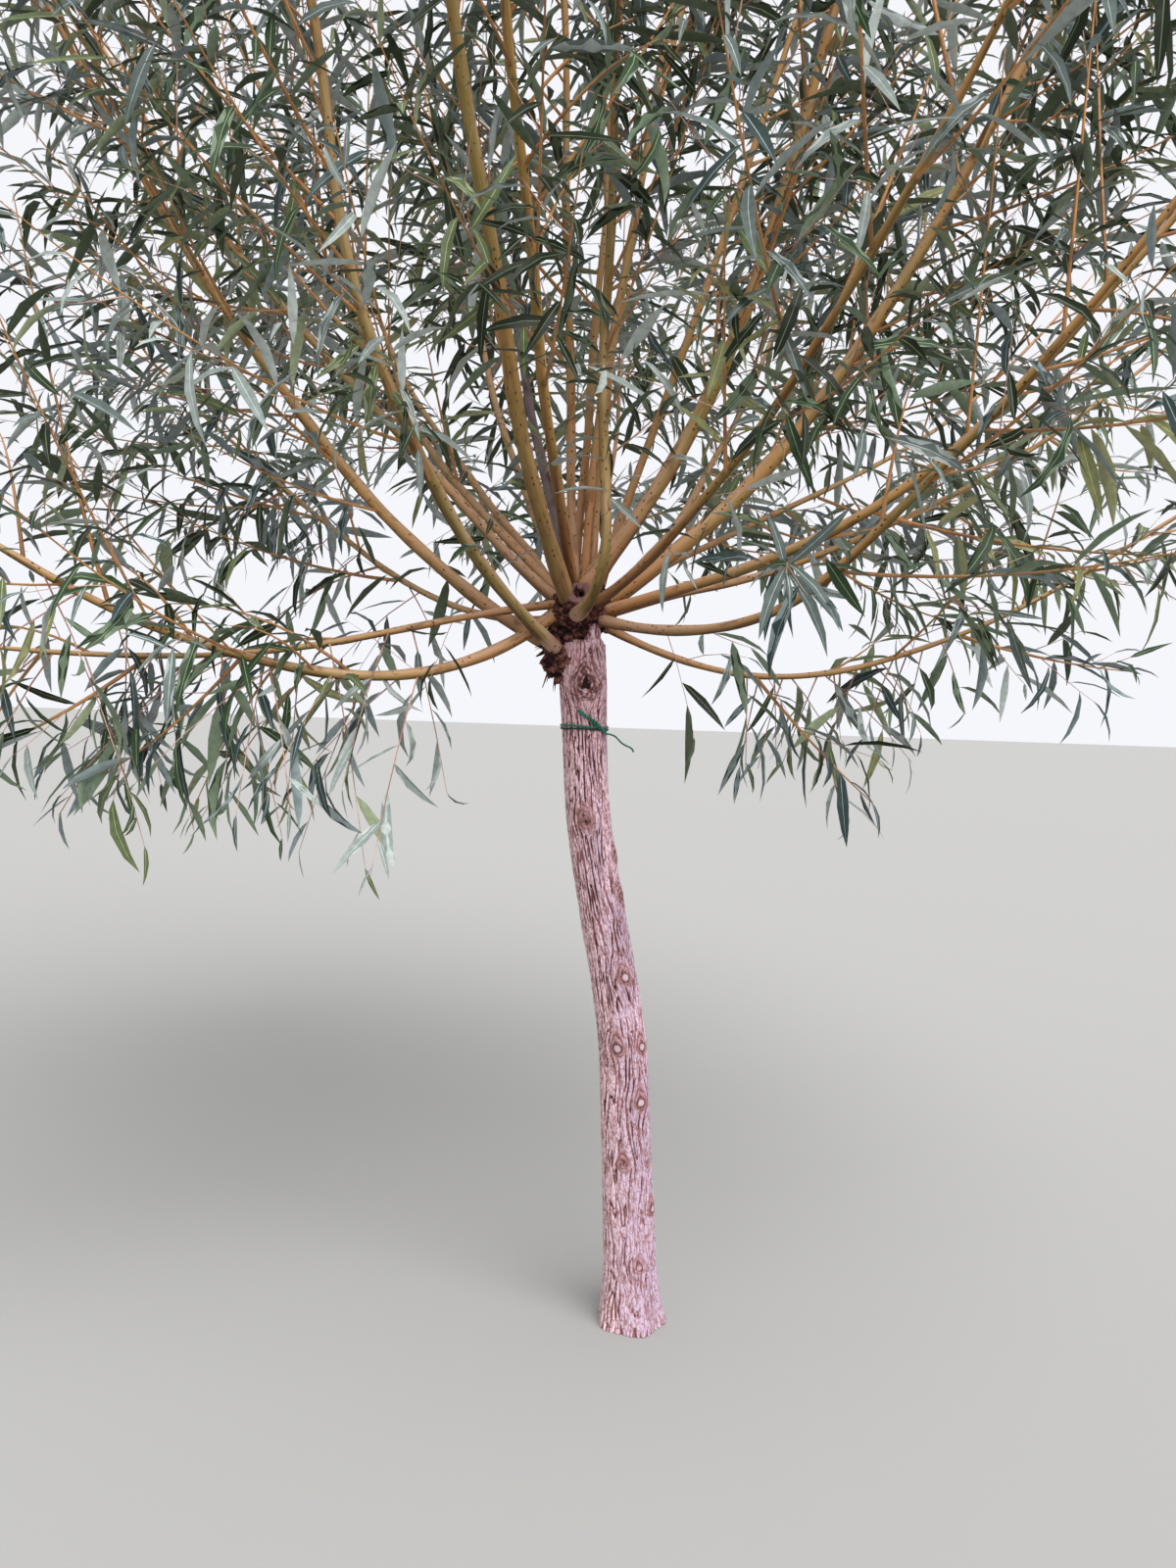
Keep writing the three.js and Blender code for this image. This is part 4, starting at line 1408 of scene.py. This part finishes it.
@lru_cache(maxsize=None)
def grow(closer, each):
    """The whole plant's limbs, shoots and twigs, worked out once."""
    limbs = limb_table()
    for number, (limb, seat) in enumerate(zip(limbs, spread_seats(limbs)), 1):
        limb.number = number
        set_route(limb, seat)
    shoots = {limb.number: shoots_on(limb, limbs, closer) for limb in limbs if not limb.dead}
    twigs = twigs_on(Shoots.gather(shoots.values()), each, TWIG_SEED)
    sprigs = [sprigs_on(limb) for limb in limbs if not limb.dead]
    tassels = [tassels_on(limb) for limb in limbs if limb.tassels]
    return limbs, shoots, Shoots.gather([twigs, *sprigs, *tassels])


def plant():
    """The plant as the twigs' settings have it."""
    settings = bpy.context.scene.willow_twigs
    return grow(settings.closeness, settings.side_twigs)


# Boughs


def tube_frames(point, side):
    """Side and over of each ring along routes: the side made square to the way, and their cross product."""
    way = unit(np.gradient(point, axis=-2))
    side = square_to(way, side)
    return side, np.cross(way, side)


def limb_surface(limb, shoots, swelling):
    """A limb as a closed tube with marks: swollen at its root and at its shoots, and slightly crooked.

    The radius is the source's taper, times one plus a bell at the root, plus small bells where shoots leave
    it. skin is the place on the unbent limb, spur how near a shoot's foot is, out the distance from the root,
    and above how far the surface faces up.
    """
    rows = np.arange(FIRST_ROW, limb.length - TIP_POINT, LIMB_STEP)
    distance = np.concatenate([np.arange(*FOOT_ROWS), rows])
    point, _ = on_limb(limb, distance)
    level = towards(limb.heading - 90, 0)
    wander = LIMB_CROOK * ease(distance, 0.15, 0.6)
    phase = limb.number * 1.7
    point = point + (wander * np.sin(distance * 9 + phase))[:, None] * level
    point = point + (wander * np.sin(distance * 7 + 2 * phase))[:, None] * UP
    turn = round_angles(LIMB_SIDES)
    ring = circle(*tube_frames(point, level), LIMB_SIDES)
    end = np.sqrt(1 - np.square(np.clip(1 - distance / (END_ROUNDING * limb.girth), 0, 1)))
    radius = (limb_radius(limb, distance) * end)[:, None] * np.ones(LIMB_SIDES)
    middle, width = SWELLING_BELL
    root = swelling * limb.swelling * hill(distance - middle, width)[:, None]
    uneven = 0.05 * np.sin(distance * 31 + phase)[:, None]
    uneven = uneven + 0.04 * np.cos(2 * turn + distance[:, None] * 12 + phase)
    spur = np.zeros(radius.shape)
    if shoots is not None:
        feet = (shoots.base[:, None] - point[None]) ** 2
        foot = distance[np.argmin(feet.sum(-1), 1)]
        facing = np.clip(np.einsum("rsk,nk->rsn", ring, shoots.start), 0, 1)
        spur = (facing * hill(distance[:, None, None] - foot, SPUR_LENGTH)).max(-1)
    radius = radius * (1 + root + uneven * (1 - 0.6 * root)) + SPUR_HEIGHT * spur
    rings = point[:, None] + ring * radius[..., None]
    tip = point[-1:] + TIP_POINT * unit(point[-1:] - point[-2:-1])
    out = np.broadcast_to(distance[:, None], radius.shape)
    skin = np.stack([np.cos(turn) * radius, np.sin(turn) * radius, out + limb.number * 3.1], -1)
    marks = {
        "skin": np.pad(skin.reshape(-1, 3), ((1, 1), (0, 0)), mode="edge"),
        "out": capped(out, distance[0], distance[-1]),
        "spur": capped(spur),
        "above": capped(ring[..., 2]),
        "olive": np.full(radius.size + 2, limb.olive),
        "pale": np.full(radius.size + 2, float(limb.number in PLAIN_ENDS)),
        "tone": np.full(radius.size + 2, float(chance(limb.number, 0, BARK_TONE))),
    }
    return spindles(rings[None], point[:1], tip), marks


def bough_bark(settings):
    """Smooth young bark: orange-brown by the head, then golden and olive, with dark specks and spurs, painted
    light on its top side and painted shade on its underside.
    """
    bark = Finish("bough_bark", 0.55, "golden", settings)
    skin = bark.mark("skin", "Vector")
    out = bark.mark("out")
    olive = bark.mark("olive")
    wide = bark.grain(skin, 0.12, 34, 3)
    streak = bark.grain(skin, 0.06, 240, 3)
    blotch = bark.grain(skin, 0.3, 75, 3)
    slow = bark.noise(bark.stretched(skin, (0.4, 0.4, 1)), 2.2, 1)
    speck = bark.cells(bark.stretched(skin, (1, 1, 0.7)), 76)
    above = bark.mark("above") + (wide - 0.3) * 1.1 + (streak - 0.5) * 0.6
    root = bark.mix(bark.mark("tone").step(0.3, 0.8), "root", "pink")
    rooty = (1 - (out + (wide - 0.5) * 0.35).step(0.10, 0.62)) * (1 - olive * 0.8)
    knuckle = (1 - (out + (blotch - 0.5) * 0.05).step(0.035, 0.085)) * bark.mark("pale")
    colour = bark.layers(
        "golden",
        ((wide + slow - 0.5).step(0.35, 0.68), "olive"),
        (rooty * 0.75, root),
        (olive * (0.35 + wide * 0.7), "shade"),
        ((out + (slow - 0.5) * 0.8).step(1.0, 2.0) * 0.8, "tip"),
        (streak.step(0.45, 0.75) * 0.45, "root"),
        # Painted light: paler where the surface faces up.
        (above.step(-0.1, 0.85) * 0.6, "weathered"),
        # Painted shade: darker where the surface faces down.
        ((1 - above.step(-0.75, 0.15)) * 0.85, "under"),
        (knuckle, "knuckle"),
        (blotch.step(0.56, 0.68) * 0.4, "speck"),
        ((1 - speck.step(0.13, 0.21)) * 0.95, "speck"),
        (bark.mark("spur").step(0.35, 0.9) * 0.6, "speck"),
    )
    relief = streak * 0.5 + (1 - speck.step(0.05, 0.16)) * 0.6
    rough = 0.5 + streak * 0.25
    return bark.wear(Base_Color=colour, Roughness=rough, Normal=bark.bump(relief, 0.35, 0.0008))


def dead_bark(settings):
    """Weathered purple-grey bark, cracked along its length, with darker damp patches."""
    bark = Finish("dead_bark", 0.85, "dead", settings)
    skin = bark.mark("skin", "Vector")
    streak = bark.grain(skin, 0.08, 190, 4, 0.5)
    colour = bark.layers(
        "dead",
        (bark.noise(skin, 16, 3).step(0.4, 0.7) * 0.7, "damp"),
        (streak.step(0.5, 0.68) * 0.6, "speck"),
    )
    return bark.wear(Base_Color=colour, Normal=bark.bump(streak, 0.7, 0.0012))


# Twigs


def shoot_rods(shoots, rings, sides):
    """Shoots as thin closed tubes whose radius narrows evenly to the tip."""
    share = np.linspace(0.02, 0.98, rings)[None]
    point, way = shoots.at(share)
    side = square_to(way, shoots.side[:, None])
    radius = lerp(shoots.thick[:, None], shoots.thin[:, None], share**0.8)
    rods = point[:, :, None] + circle(side, np.cross(way, side), sides) * radius[..., None, None]
    tips, _ = shoots.at(np.array([[1.0]]))
    return spindles(rods, shoots.base, tips[:, 0])


def twig_bark(name, settings, first, second):
    """Thin smooth twig bark that shifts between two colours along the crown."""
    bark = Finish(name, 0.5, first, settings)
    patch = bark.noise(bark.place(), 9, 2)
    fine = bark.noise(bark.place(), 160, 2)
    return bark.wear(Base_Color=bark.mix((patch + (fine - 0.5) * 0.4).step(0.35, 0.65), first, second))


# Leaves


@dataclass
class Blades(Rows):
    """Leaves as rows: foot, way, upper side, length, half width, bend, twist, fold and spray."""

    foot: np.ndarray
    way: np.ndarray
    upper: np.ndarray
    length: np.ndarray
    half: np.ndarray
    bend: np.ndarray
    twist: np.ndarray
    fold: np.ndarray
    spray: np.ndarray


def blades_on(shoots, spacing, sizes, seed):
    """Leaves stand round a shoot by the golden angle, counted back from its tip.

    Each leans out, less near the tip, and sags. Its upper side turns to the sky and to the shoot's tip. It
    is shortest at the tip.
    """
    draw = np.random.default_rng(seed)
    most = int(shoots.length.max() / spacing) + 1
    count = len(shoots.length)
    back = (np.arange(most)[None] + draw.uniform(0, 0.5, (count, most))) * spacing
    share = 1 - back / shoots.length[:, None]
    grows = share > FIRST_LEAF
    share = np.maximum(share, FIRST_LEAF)
    point, along = shoots.at(share)
    turn = np.radians(GOLDEN_ANGLE) * np.arange(most) + draw.uniform(0, 2 * np.pi, (count, 1))
    low, high = (draw.uniform(*leans, share.shape) for leans in (LEAF_LEANS_LOW, LEAF_LEANS_HIGH))
    lean = np.radians(lerp(low, high, share**3))
    side = square_to(along, shoots.side[:, None])
    sag = draw.uniform(0, LEAF_SAG, share.shape)[..., None]
    way = unit(leaning(along, side, turn[..., None], lean[..., None])[0] - sag * UP)
    facing = UP * LEAF_UPWARDS + along * LEAF_TIPWARDS + draw.normal(0, LEAF_SCATTER, (*share.shape, 3))
    size = lerp(1, TIP_LEAF_SIZE, ease(share, *TIP_LEAVES)) * draw.uniform(*LEAF_SIZES, share.shape)
    length = lerp(*sizes, draw.uniform(0, 1, share.shape)) * size
    blades = Blades(
        foot=point,
        way=way,
        upper=square_to(way, facing),
        length=length,
        half=length * draw.uniform(*LEAF_HALF_WIDTHS, share.shape),
        bend=draw.uniform(*LEAF_BENDS, share.shape),
        twist=draw.normal(0, LEAF_TWIST, share.shape),
        fold=draw.uniform(*LEAF_FOLDS, share.shape),
        spray=np.broadcast_to(shoots.spray[:, None], share.shape),
    )
    return blades.only(grows)


def blade_rings(blades):
    """Five points round each of a blade's stations: left edge, two by the rib, right edge, and underneath.

    The rib is an arc that bends away from the upper side: ahead by sin(bend s) / bend, and down by
    (1 - cos(bend s)) / bend. The section turns by the twist along it, and both halves are folded up.
    """

    def rib_at(share):
        turned = blades.bend[:, None] * share
        ahead = (np.sin(turned) / blades.bend[:, None] * blades.length[:, None])[..., None]
        down = ((1 - np.cos(turned)) / blades.bend[:, None] * blades.length[:, None])[..., None]
        return blades.foot[:, None] + ahead * blades.way[:, None] - down * blades.upper[:, None], turned

    centre, turned = rib_at(STATIONS)
    turned = turned[..., None]
    upper = np.cos(turned) * blades.upper[:, None] + np.sin(turned) * blades.way[:, None]
    across = np.cross(blades.way, blades.upper)[:, None]
    roll = (blades.twist[:, None] * STATIONS)[..., None]
    across, upper = np.cos(roll) * across + np.sin(roll) * upper, np.cos(roll) * upper - np.sin(roll) * across
    half = (blades.half[:, None] * STATION_WIDTHS)[..., None]
    outwards = half * np.cos(blades.fold)[:, None, None] * across
    raised = half * np.sin(blades.fold)[:, None, None] * upper
    rib = RIB_WIDTHS[:, None] * across
    proud = centre + RIB_HEIGHT * upper
    under = centre - BLADE_THICKNESS * upper
    rings = [centre - outwards + raised, proud - rib, proud + rib, centre + outwards + raised, under]
    tip, _ = rib_at(np.array([1.0]))
    return np.stack(rings, 2), blades.foot, tip[:, 0]


def blade_details(count):
    """The finish of each face, 0 on top, 1 on the rib and 2 underneath, and which points lie on the rim."""
    strip = np.array([0, 1, 0, 2, 2])
    strips = count * (len(STATIONS) - 1) + count * 2
    on_rim = np.zeros(BLADE_POINTS, bool)
    on_rim[[0, BLADE_POINTS - 1]] = True
    on_rim[1:-1:BLADE_SIDES] = True
    on_rim[4:-1:BLADE_SIDES] = True
    return {"finish_index": np.tile(strip, strips), "rim": np.tile(on_rim, count)}


def leaf_finish(name, colour, roughness):
    """Leaf surface: one plain colour, lightly mottled, with a soft sheen."""
    leaf = Finish(name, roughness, colour)
    mottle = leaf.noise(leaf.place(), 70, 2)
    darker = tuple(value * 0.88 for value in colour)
    lighter = tuple(min(value * 1.1, 1) for value in colour)
    return leaf.wear(Base_Color=leaf.mix(mottle.step(0.35, 0.65), darker, lighter))


# Tie


def wire_strand(points, thickness):
    """A round strand along points, with blunt ends."""
    frames = tube_frames(points, np.cross(UP, unit(np.gradient(points, axis=0))) + 1e-4)
    strand = points[:, None] + circle(*frames, WIRE_SIDES) * thickness / 2
    return spindles(strand[None], points[:1], points[-1:])


def on_bark(height, angle, clear):
    """Points that lie on the bark at a height and angle, out from it by a clearance."""
    swelling = knot_forms(height, angle)[0]
    return round_trunk(height, angle, trunk_girth(height, angle) + swelling + clear)


def tie_surface(thickness):
    """Two turns of wire round the trunk, a slanting ring each, and the twisted pair of its ends.

    Also gives which faces belong to the lower turn.
    """
    parts = []
    for turn in range(TIE_TURNS):
        angle = np.linspace(0, 2 * np.pi, TIE_POINTS) + np.radians(TIE_START)
        lean = math.tan(math.radians(TIE_TILT + 1.2 * turn)) * -NECK_RADIUS * np.cos(angle)
        height = TIE_HEIGHT + lean + 1.5 * thickness * (turn - 0.5) + 0.0012 * np.sin(3 * angle + turn)
        parts.append(wire_strand(on_bark(height, angle, TIE_CLEARANCE + thickness / 2), thickness))
    share = np.linspace(0, 1, max(TIE_END_POINTS))
    known = np.linspace(0, 1, len(TIE_END))
    angle, height = (np.interp(share, known, measure) for measure in zip(*TIE_END))
    middle = on_bark(height, np.radians(angle), TIE_END_CLEARANCE + thickness)
    middle = middle + ease(share, 0.72, 1.0)[:, None] * np.array(TIE_END_LIFT)
    way = unit(np.gradient(middle, axis=0))
    side = unit(np.cross(way, UP))
    over = np.cross(way, side)
    pitch = thickness * 0.52 * (1 + 1.1 * hill(share - 0.45, 0.16))[:, None]
    for turn, points in enumerate(TIE_END_POINTS):
        wound = (share * 2 * np.pi * TIE_PLAITS + np.pi * turn)[:, None]
        strand = middle + pitch * (np.cos(wound) * side + np.sin(wound) * over)
        parts.append(wire_strand(strand[:points], thickness))
    surface = join(parts)
    lower = [np.arange(len(faces)) < len(first) for faces, first in zip(surface[1:], parts[0][1:])]
    return surface, np.concatenate(lower).astype(int)


def wire_finish(name, colour):
    """Green plastic coating, scuffed and a little faded."""
    wire = Finish(name, 0.38, colour)
    scuff = wire.noise(wire.place(), 300, 3)
    faded = tuple(min(value * 1.5 + 0.01, 1) for value in colour)
    shade = wire.mix(scuff.step(0.5, 0.8) * 0.6, colour, faded)
    return wire.wear(Base_Color=shade, Roughness=0.3 + scuff * 0.3)


# Settings


def colour_setting(name, description, *screen_colour):
    """A colour that a user may change. Its default is a screen colour from 0 to 255."""
    default = paint(*screen_colour)
    limits = {"subtype": "COLOR", "min": 0, "max": 1, "size": 3}
    return FloatVectorProperty(name=name, description=description, default=default, **limits)


def length_setting(name, description, default, least=0.0):
    """A length in metres that a user may change."""
    return FloatProperty(name=name, description=description, default=default, min=least, unit="LENGTH")


class WillowTrunkSettings(PropertyGroup):
    groove_depth: length_setting("Groove depth", "Depth of the bark's fissures", 0.0034)
    plate_colour: colour_setting("Plates", "Pale bark between the fissures", 246, 212, 224)
    grey_colour: colour_setting("Grey plates", "Older, greyer bark", 180, 163, 184)
    # Painted light: a warmer tint on the left side of the trunk.
    sunny_colour: colour_setting("Sunny side", "Warmer bark of the left side", 232, 198, 202)
    neck_colour: colour_setting("Neck", "Greyer bark under the head", 204, 166, 168)
    warm_colour: colour_setting("Streaks", "Warm streaks on the plates", 178, 134, 136)
    groove_colour: colour_setting("Fissures", "Red-brown sides of the fissures", 136, 90, 88)
    # Dark bark and painted shade on the fissures' floors.
    crack_colour: colour_setting("Cracks", "Floor of the fissures", 66, 39, 40)
    collar_colour: colour_setting("Collars", "Bark round a pruning scar", 142, 86, 72)
    rim_colour: colour_setting("Rims", "Lumpy bark round an open knot", 102, 62, 57)
    face_colour: colour_setting("Cut faces", "Grown-over wood in a scar", 189, 164, 171)
    # Dark wood and painted shade in the knots' hollows.
    wound_colour: colour_setting("Wounds", "Open knots", 34, 18, 18)


class WillowHeadSettings(PropertyGroup):
    callus_colour: colour_setting("Callus", "Callus on the head", 111, 65, 55)
    # Painted shade in the callus's creases and in the stub's hollow.
    crease_colour: colour_setting("Creases", "Deep places of the callus", 34, 16, 18)
    crumb_colour: colour_setting("Crumbs", "Dry crumbs on the callus", 150, 106, 95)
    stub_colour: colour_setting("Dead stub", "Weathered wood of the hollow stub", 132, 98, 98)


class WillowBoughSettings(PropertyGroup):
    swelling: FloatProperty(
        name="Root swelling",
        description="How much a bough swells at the head, as a share",
        default=0.14,
        min=0,
        max=1,
        subtype="FACTOR",
    )
    knuckle_colour: colour_setting("Knuckles", "Pale bark of the swollen roots", 162, 127, 106)
    root_colour: colour_setting("By the head", "Bark near the head", 172, 118, 74)
    pink_colour: colour_setting("Pinkish", "Bark near the head of some limbs", 155, 120, 97)
    golden_colour: colour_setting("Golden", "Bark along the bough", 180, 138, 80)
    olive_colour: colour_setting("Olive", "Greener bark along the bough", 140, 122, 62)
    # Painted light on the top side of each bough.
    weathered_colour: colour_setting("Weathered", "Paler upper side of a bough", 212, 172, 142)
    # Painted shade on the underside of each bough.
    under_colour: colour_setting("Underside", "Darker underside of a bough", 62, 36, 16)
    shade_colour: colour_setting("Shaded", "Green bark of the limbs in front", 126, 114, 64)
    tip_colour: colour_setting("Towards the tip", "Bark of the youngest part", 166, 122, 76)
    speck_colour: colour_setting("Specks", "Lenticels and spurs", 67, 35, 23)
    dead_colour: colour_setting("Dead bark", "Weathered bark of the dead limb", 131, 117, 115)
    damp_colour: colour_setting("Damp bark", "Darker patches on it", 90, 76, 74)


class WillowTwigSettings(PropertyGroup):
    closeness: FloatProperty(
        name="Closeness",
        description="How many shoots grow where the CAD part has one",
        default=4.0,
        min=1,
        max=10,
    )
    side_twigs: IntProperty(
        name="Side twigs",
        description="Finer twigs on each shoot",
        default=5,
        min=1,
        max=12,
    )
    orange_colour: colour_setting("Orange", "Bark of the shoots", 190, 138, 86)
    rust_colour: colour_setting("Rust", "Shadier shoots", 146, 106, 70)
    pink_colour: colour_setting("Pink", "Bark of the finest twigs", 204, 168, 150)
    red_colour: colour_setting("Red", "Redder fine twigs", 148, 106, 94)


class WillowLeafSettings(PropertyGroup):
    shortest: length_setting("Shortest", "Length of a short full-grown leaf", 0.140)
    longest: length_setting("Longest", "Length of a long full-grown leaf", 0.190)
    spacing: length_setting("Spacing", "Distance between leaves on a twig", 0.042, least=0.01)


class WillowTieSettings(PropertyGroup):
    thickness: length_setting("Thickness", "Of the coated wire", 0.0046)
    plastic_colour: colour_setting("Plastic", "Coating of the wire", 48, 108, 90)
    # A darker coating on the lower turn.
    soiled_colour: colour_setting("Lower turn", "Coating of the soiled lower turn", 21, 44, 39)


class WillowStageSettings(PropertyGroup):
    floor_colour: colour_setting("Floor", "Plain pale floor", 154, 153, 150)
    sky_colour: colour_setting("Sky", "Plain pale surroundings", 246, 247, 252)
    sky_strength: FloatProperty(name="Sky strength", description="Light from all around", default=1.0, min=0)
    sun_strength: FloatProperty(
        name="Sun strength",
        description="Soft light from the right",
        default=4.4,
        min=0,
    )


# Operators


def foliage_nodes(limbs):
    """The masses of foliage that shoots, twigs and leaves stand for."""
    return [f"foliage_{limb.label}" for limb in limbs if not limb.dead]


class WILLOW_OT_trunk(Operator):
    """Barked trunk with its fissures, pruning scars and torn upper edge"""

    bl_idname = "willow.trunk"
    bl_label = "Trunk"

    def execute(self, context):
        settings = context.scene.willow_trunk
        surface, marks = trunk_surface(settings.groove_depth)
        put_piece("trunk_bark", surface, [trunk_bark(settings)], "bark", ["trunk"], marks=marks)
        return {"FINISHED"}


class WILLOW_OT_head(Operator):
    """Callused head with its burl and broken stubs"""

    bl_idname = "willow.head"
    bl_label = "Head"

    def execute(self, context):
        settings = context.scene.willow_head
        limbs, _, _ = plant()
        put_piece("head_callus", head_surface(limbs), [callus_bark(settings)], "bark", ["trunk"])
        surface, marks = dead_stub()
        put_piece("dead_stub", surface, [stub_wood(settings)], "dead_bark", ["trunk"], marks=marks)
        return {"FINISHED"}


class WILLOW_OT_boughs(Operator):
    """Live boughs, each with the stem it carries through its foliage, and the bare dead limb"""

    bl_idname = "willow.boughs"
    bl_label = "Boughs"

    def execute(self, context):
        settings = context.scene.willow_boughs
        limbs, shoots, _ = plant()
        for name, dead, slot in (("boughs", False, "young_bark"), ("dead_bough", True, "dead_bark")):
            chosen = [limb for limb in limbs if limb.dead == dead]
            made = [limb_surface(limb, shoots.get(limb.number), settings.swelling) for limb in chosen]
            surface = join([surface for surface, _ in made])
            marks = {label: np.concatenate([found[label] for _, found in made]) for label in made[0][1]}
            finish = dead_bark(settings) if dead else bough_bark(settings)
            nodes = [f"bough_{limb.label}" for limb in chosen]
            put_piece(name, surface, [finish], slot, nodes, marks=marks)
        return {"FINISHED"}


class WILLOW_OT_twigs(Operator):
    """Shoots on the boughs and finer twigs on the shoots"""

    bl_idname = "willow.twigs"
    bl_label = "Twigs"

    def execute(self, context):
        settings = context.scene.willow_twigs
        limbs, shoots, twigs = plant()
        rods = shoot_rods(Shoots.gather(shoots.values()), rings=10, sides=4)
        fine_rods = shoot_rods(twigs, rings=4, sides=3)
        bark = twig_bark("shoot_bark", settings, "orange", "rust")
        fine_bark = twig_bark("fine_twig_bark", settings, "pink", "red")
        put_piece("shoots", rods, [bark], "young_bark", foliage_nodes(limbs))
        put_piece("fine_twigs", fine_rods, [fine_bark], "young_bark", foliage_nodes(limbs))
        return {"FINISHED"}


class WILLOW_OT_leaves(Operator):
    """Leaves on shoots and twigs, one piece for each tint, dealt out by spray"""

    bl_idname = "willow.leaves"
    bl_label = "Leaves"

    def execute(self, context):
        settings = context.scene.willow_leaves
        sizes = (settings.shortest, settings.longest)
        limbs, shoots, twigs = plant()
        shoots = Shoots.gather(shoots.values())
        blades = Blades.gather([
            blades_on(shoots, settings.spacing * SHOOT_LEAVES_APART, sizes, SHOOT_LEAF_SEED),
            blades_on(twigs, settings.spacing * TWIG_LEAVES_APART, sizes, TWIG_LEAF_SEED),
        ])
        blades = blades.only(in_box(blades.foot + blades.length[:, None] * blades.way, LEAF_BOX_MARGIN))
        deal = chance(blades.spray, *TINT_OF_SPRAY)
        kind = blades.spray % LIMB_SPRAYS
        hanging = (kind >= TASSEL_SPRAY) & (kind < SPRIG_SPRAY)
        # Painted light: tassel sprays never get the deep tint, so they stay lighter.
        deal = np.where(hanging, lerp(*PAINTED_LIGHT_TASSEL_TINTS, deal), deal)
        edges = np.cumsum([0] + [tint.share for tint in TINTS])
        for tint, low, high in zip(TINTS, edges, edges[1:] + 1e-9):
            dealt = blades.only((deal >= low) & (deal < high))
            finishes = [
                leaf_finish(f"leaf_{tint.name}_upper", tint.upper, 0.42),
                leaf_finish(f"leaf_{tint.name}_rib", tint.rib, 0.5),
                leaf_finish(f"leaf_{tint.name}_under", tint.under, 0.7),
            ]
            surface = spindles(*blade_rings(dealt))
            details = blade_details(len(dealt.length))
            put_piece(f"leaves_{tint.name}", surface, finishes, "leaves", foliage_nodes(limbs), **details)
        return {"FINISHED"}


class WILLOW_OT_tie(Operator):
    """Green coated wire round the trunk, with its twisted end"""

    bl_idname = "willow.tie"
    bl_label = "Tie"

    def execute(self, context):
        settings = context.scene.willow_tie
        surface, lower = tie_surface(settings.thickness)
        finishes = [
            wire_finish("tie_plastic", tuple(settings.plastic_colour)),
            wire_finish("tie_plastic_dark", tuple(settings.soiled_colour)),
        ]
        put_piece("tie_wire", surface, finishes, "wire", ["trunk_tie"], finish_index=lower)
        return {"FINISHED"}


class WILLOW_OT_stage(Operator):
    """Pale floor, pale surroundings, soft light and the camera"""

    bl_idname = "willow.stage"
    bl_label = "Stage"

    def execute(self, context):
        settings = context.scene.willow_stage
        add_floor(settings)
        add_light(settings)
        add_camera()
        return {"FINISHED"}


def add_floor(settings):
    """A flat square at ground level."""
    far = FLOOR_SIDE / 2
    corners = np.array([[-far, -far, 0], [far, -far, 0], [far, far, 0], [-far, far, 0]])
    floor = put_object("floor", build_mesh("floor", (corners, np.array([[0, 1, 2, 3]]))))
    floor.data.materials.append(Finish("pale_floor", 0.9, "floor", settings).material)


def add_light(settings):
    """An even pale sky, and a wide soft sun high on the right, shown with plain screen colours."""
    bpy.context.scene.view_settings.view_transform = "Standard"
    world = bpy.data.worlds.new("pale_sky")
    world.use_nodes = True
    sky = world.node_tree.nodes["Background"]
    sky.inputs["Color"].default_value = (*settings.sky_colour, 1)
    sky.inputs["Strength"].default_value = settings.sky_strength
    bpy.context.scene.world = world
    lamp = bpy.data.lights.new("soft_sun", "SUN")
    lamp.energy = settings.sun_strength
    lamp.angle = math.radians(SUN_ANGLE)
    sun = put_object("soft_sun", lamp)
    sun.rotation_euler = (math.radians(SUN_TILT), 0, math.radians(SUN_TURN))


def add_camera():
    """A phone's wide lens at eye height, tipped a little down and turned a little about its own axis."""
    tip = math.radians(CAMERA_DOWN)
    roll = math.radians(CAMERA_ROLL)
    forward = Vector((0, math.cos(tip), -math.sin(tip)))
    down = Vector((0, -math.sin(tip), -math.cos(tip)))
    right = Vector((1, 0, 0))
    across = right * math.cos(roll) - down * math.sin(roll)
    upwards = -(right * math.sin(roll) + down * math.cos(roll))
    lens = bpy.data.cameras.new("camera")
    lens.lens = CAMERA_LENS
    lens.sensor_width = SENSOR_WIDTH
    camera = put_object("camera", lens)
    turned = Matrix((across, upwards, -forward)).transposed().to_4x4()
    camera.matrix_world = Matrix.Translation(CAMERA_PLACE) @ turned
    bpy.context.scene.camera = camera


class WILLOW_PT_panel(Panel):
    """Lists the pieces of the willow"""

    bl_label = "Pollard willow"
    bl_space_type = "VIEW_3D"
    bl_region_type = "UI"
    bl_category = "Willow"

    def draw(self, context):
        for operator, name, _ in STEPS:
            box = self.layout.box()
            box.operator(operator.bl_idname)
            settings = getattr(context.scene, name)
            for label in settings.__annotations__:
                box.prop(settings, label)


STEPS = (
    (WILLOW_OT_stage, "willow_stage", WillowStageSettings),
    (WILLOW_OT_trunk, "willow_trunk", WillowTrunkSettings),
    (WILLOW_OT_head, "willow_head", WillowHeadSettings),
    (WILLOW_OT_boughs, "willow_boughs", WillowBoughSettings),
    (WILLOW_OT_twigs, "willow_twigs", WillowTwigSettings),
    (WILLOW_OT_leaves, "willow_leaves", WillowLeafSettings),
    (WILLOW_OT_tie, "willow_tie", WillowTieSettings),
)
CLASSES = (*(group for _, _, group in STEPS), *(operator for operator, _, _ in STEPS), WILLOW_PT_panel)


def register():
    for item in CLASSES:
        bpy.utils.register_class(item)
    for _, name, group in STEPS:
        setattr(bpy.types.Scene, name, PointerProperty(type=group))


def unregister():
    for _, name, _ in STEPS:
        delattr(bpy.types.Scene, name)
    for item in reversed(CLASSES):
        bpy.utils.unregister_class(item)


def main():
    """Builds the stage and the tree."""
    register()
    bpy.ops.willow.stage()
    bpy.ops.willow.trunk()
    bpy.ops.willow.head()
    bpy.ops.willow.boughs()
    bpy.ops.willow.twigs()
    bpy.ops.willow.leaves()
    bpy.ops.willow.tie()


if __name__ == "__main__":
    main()
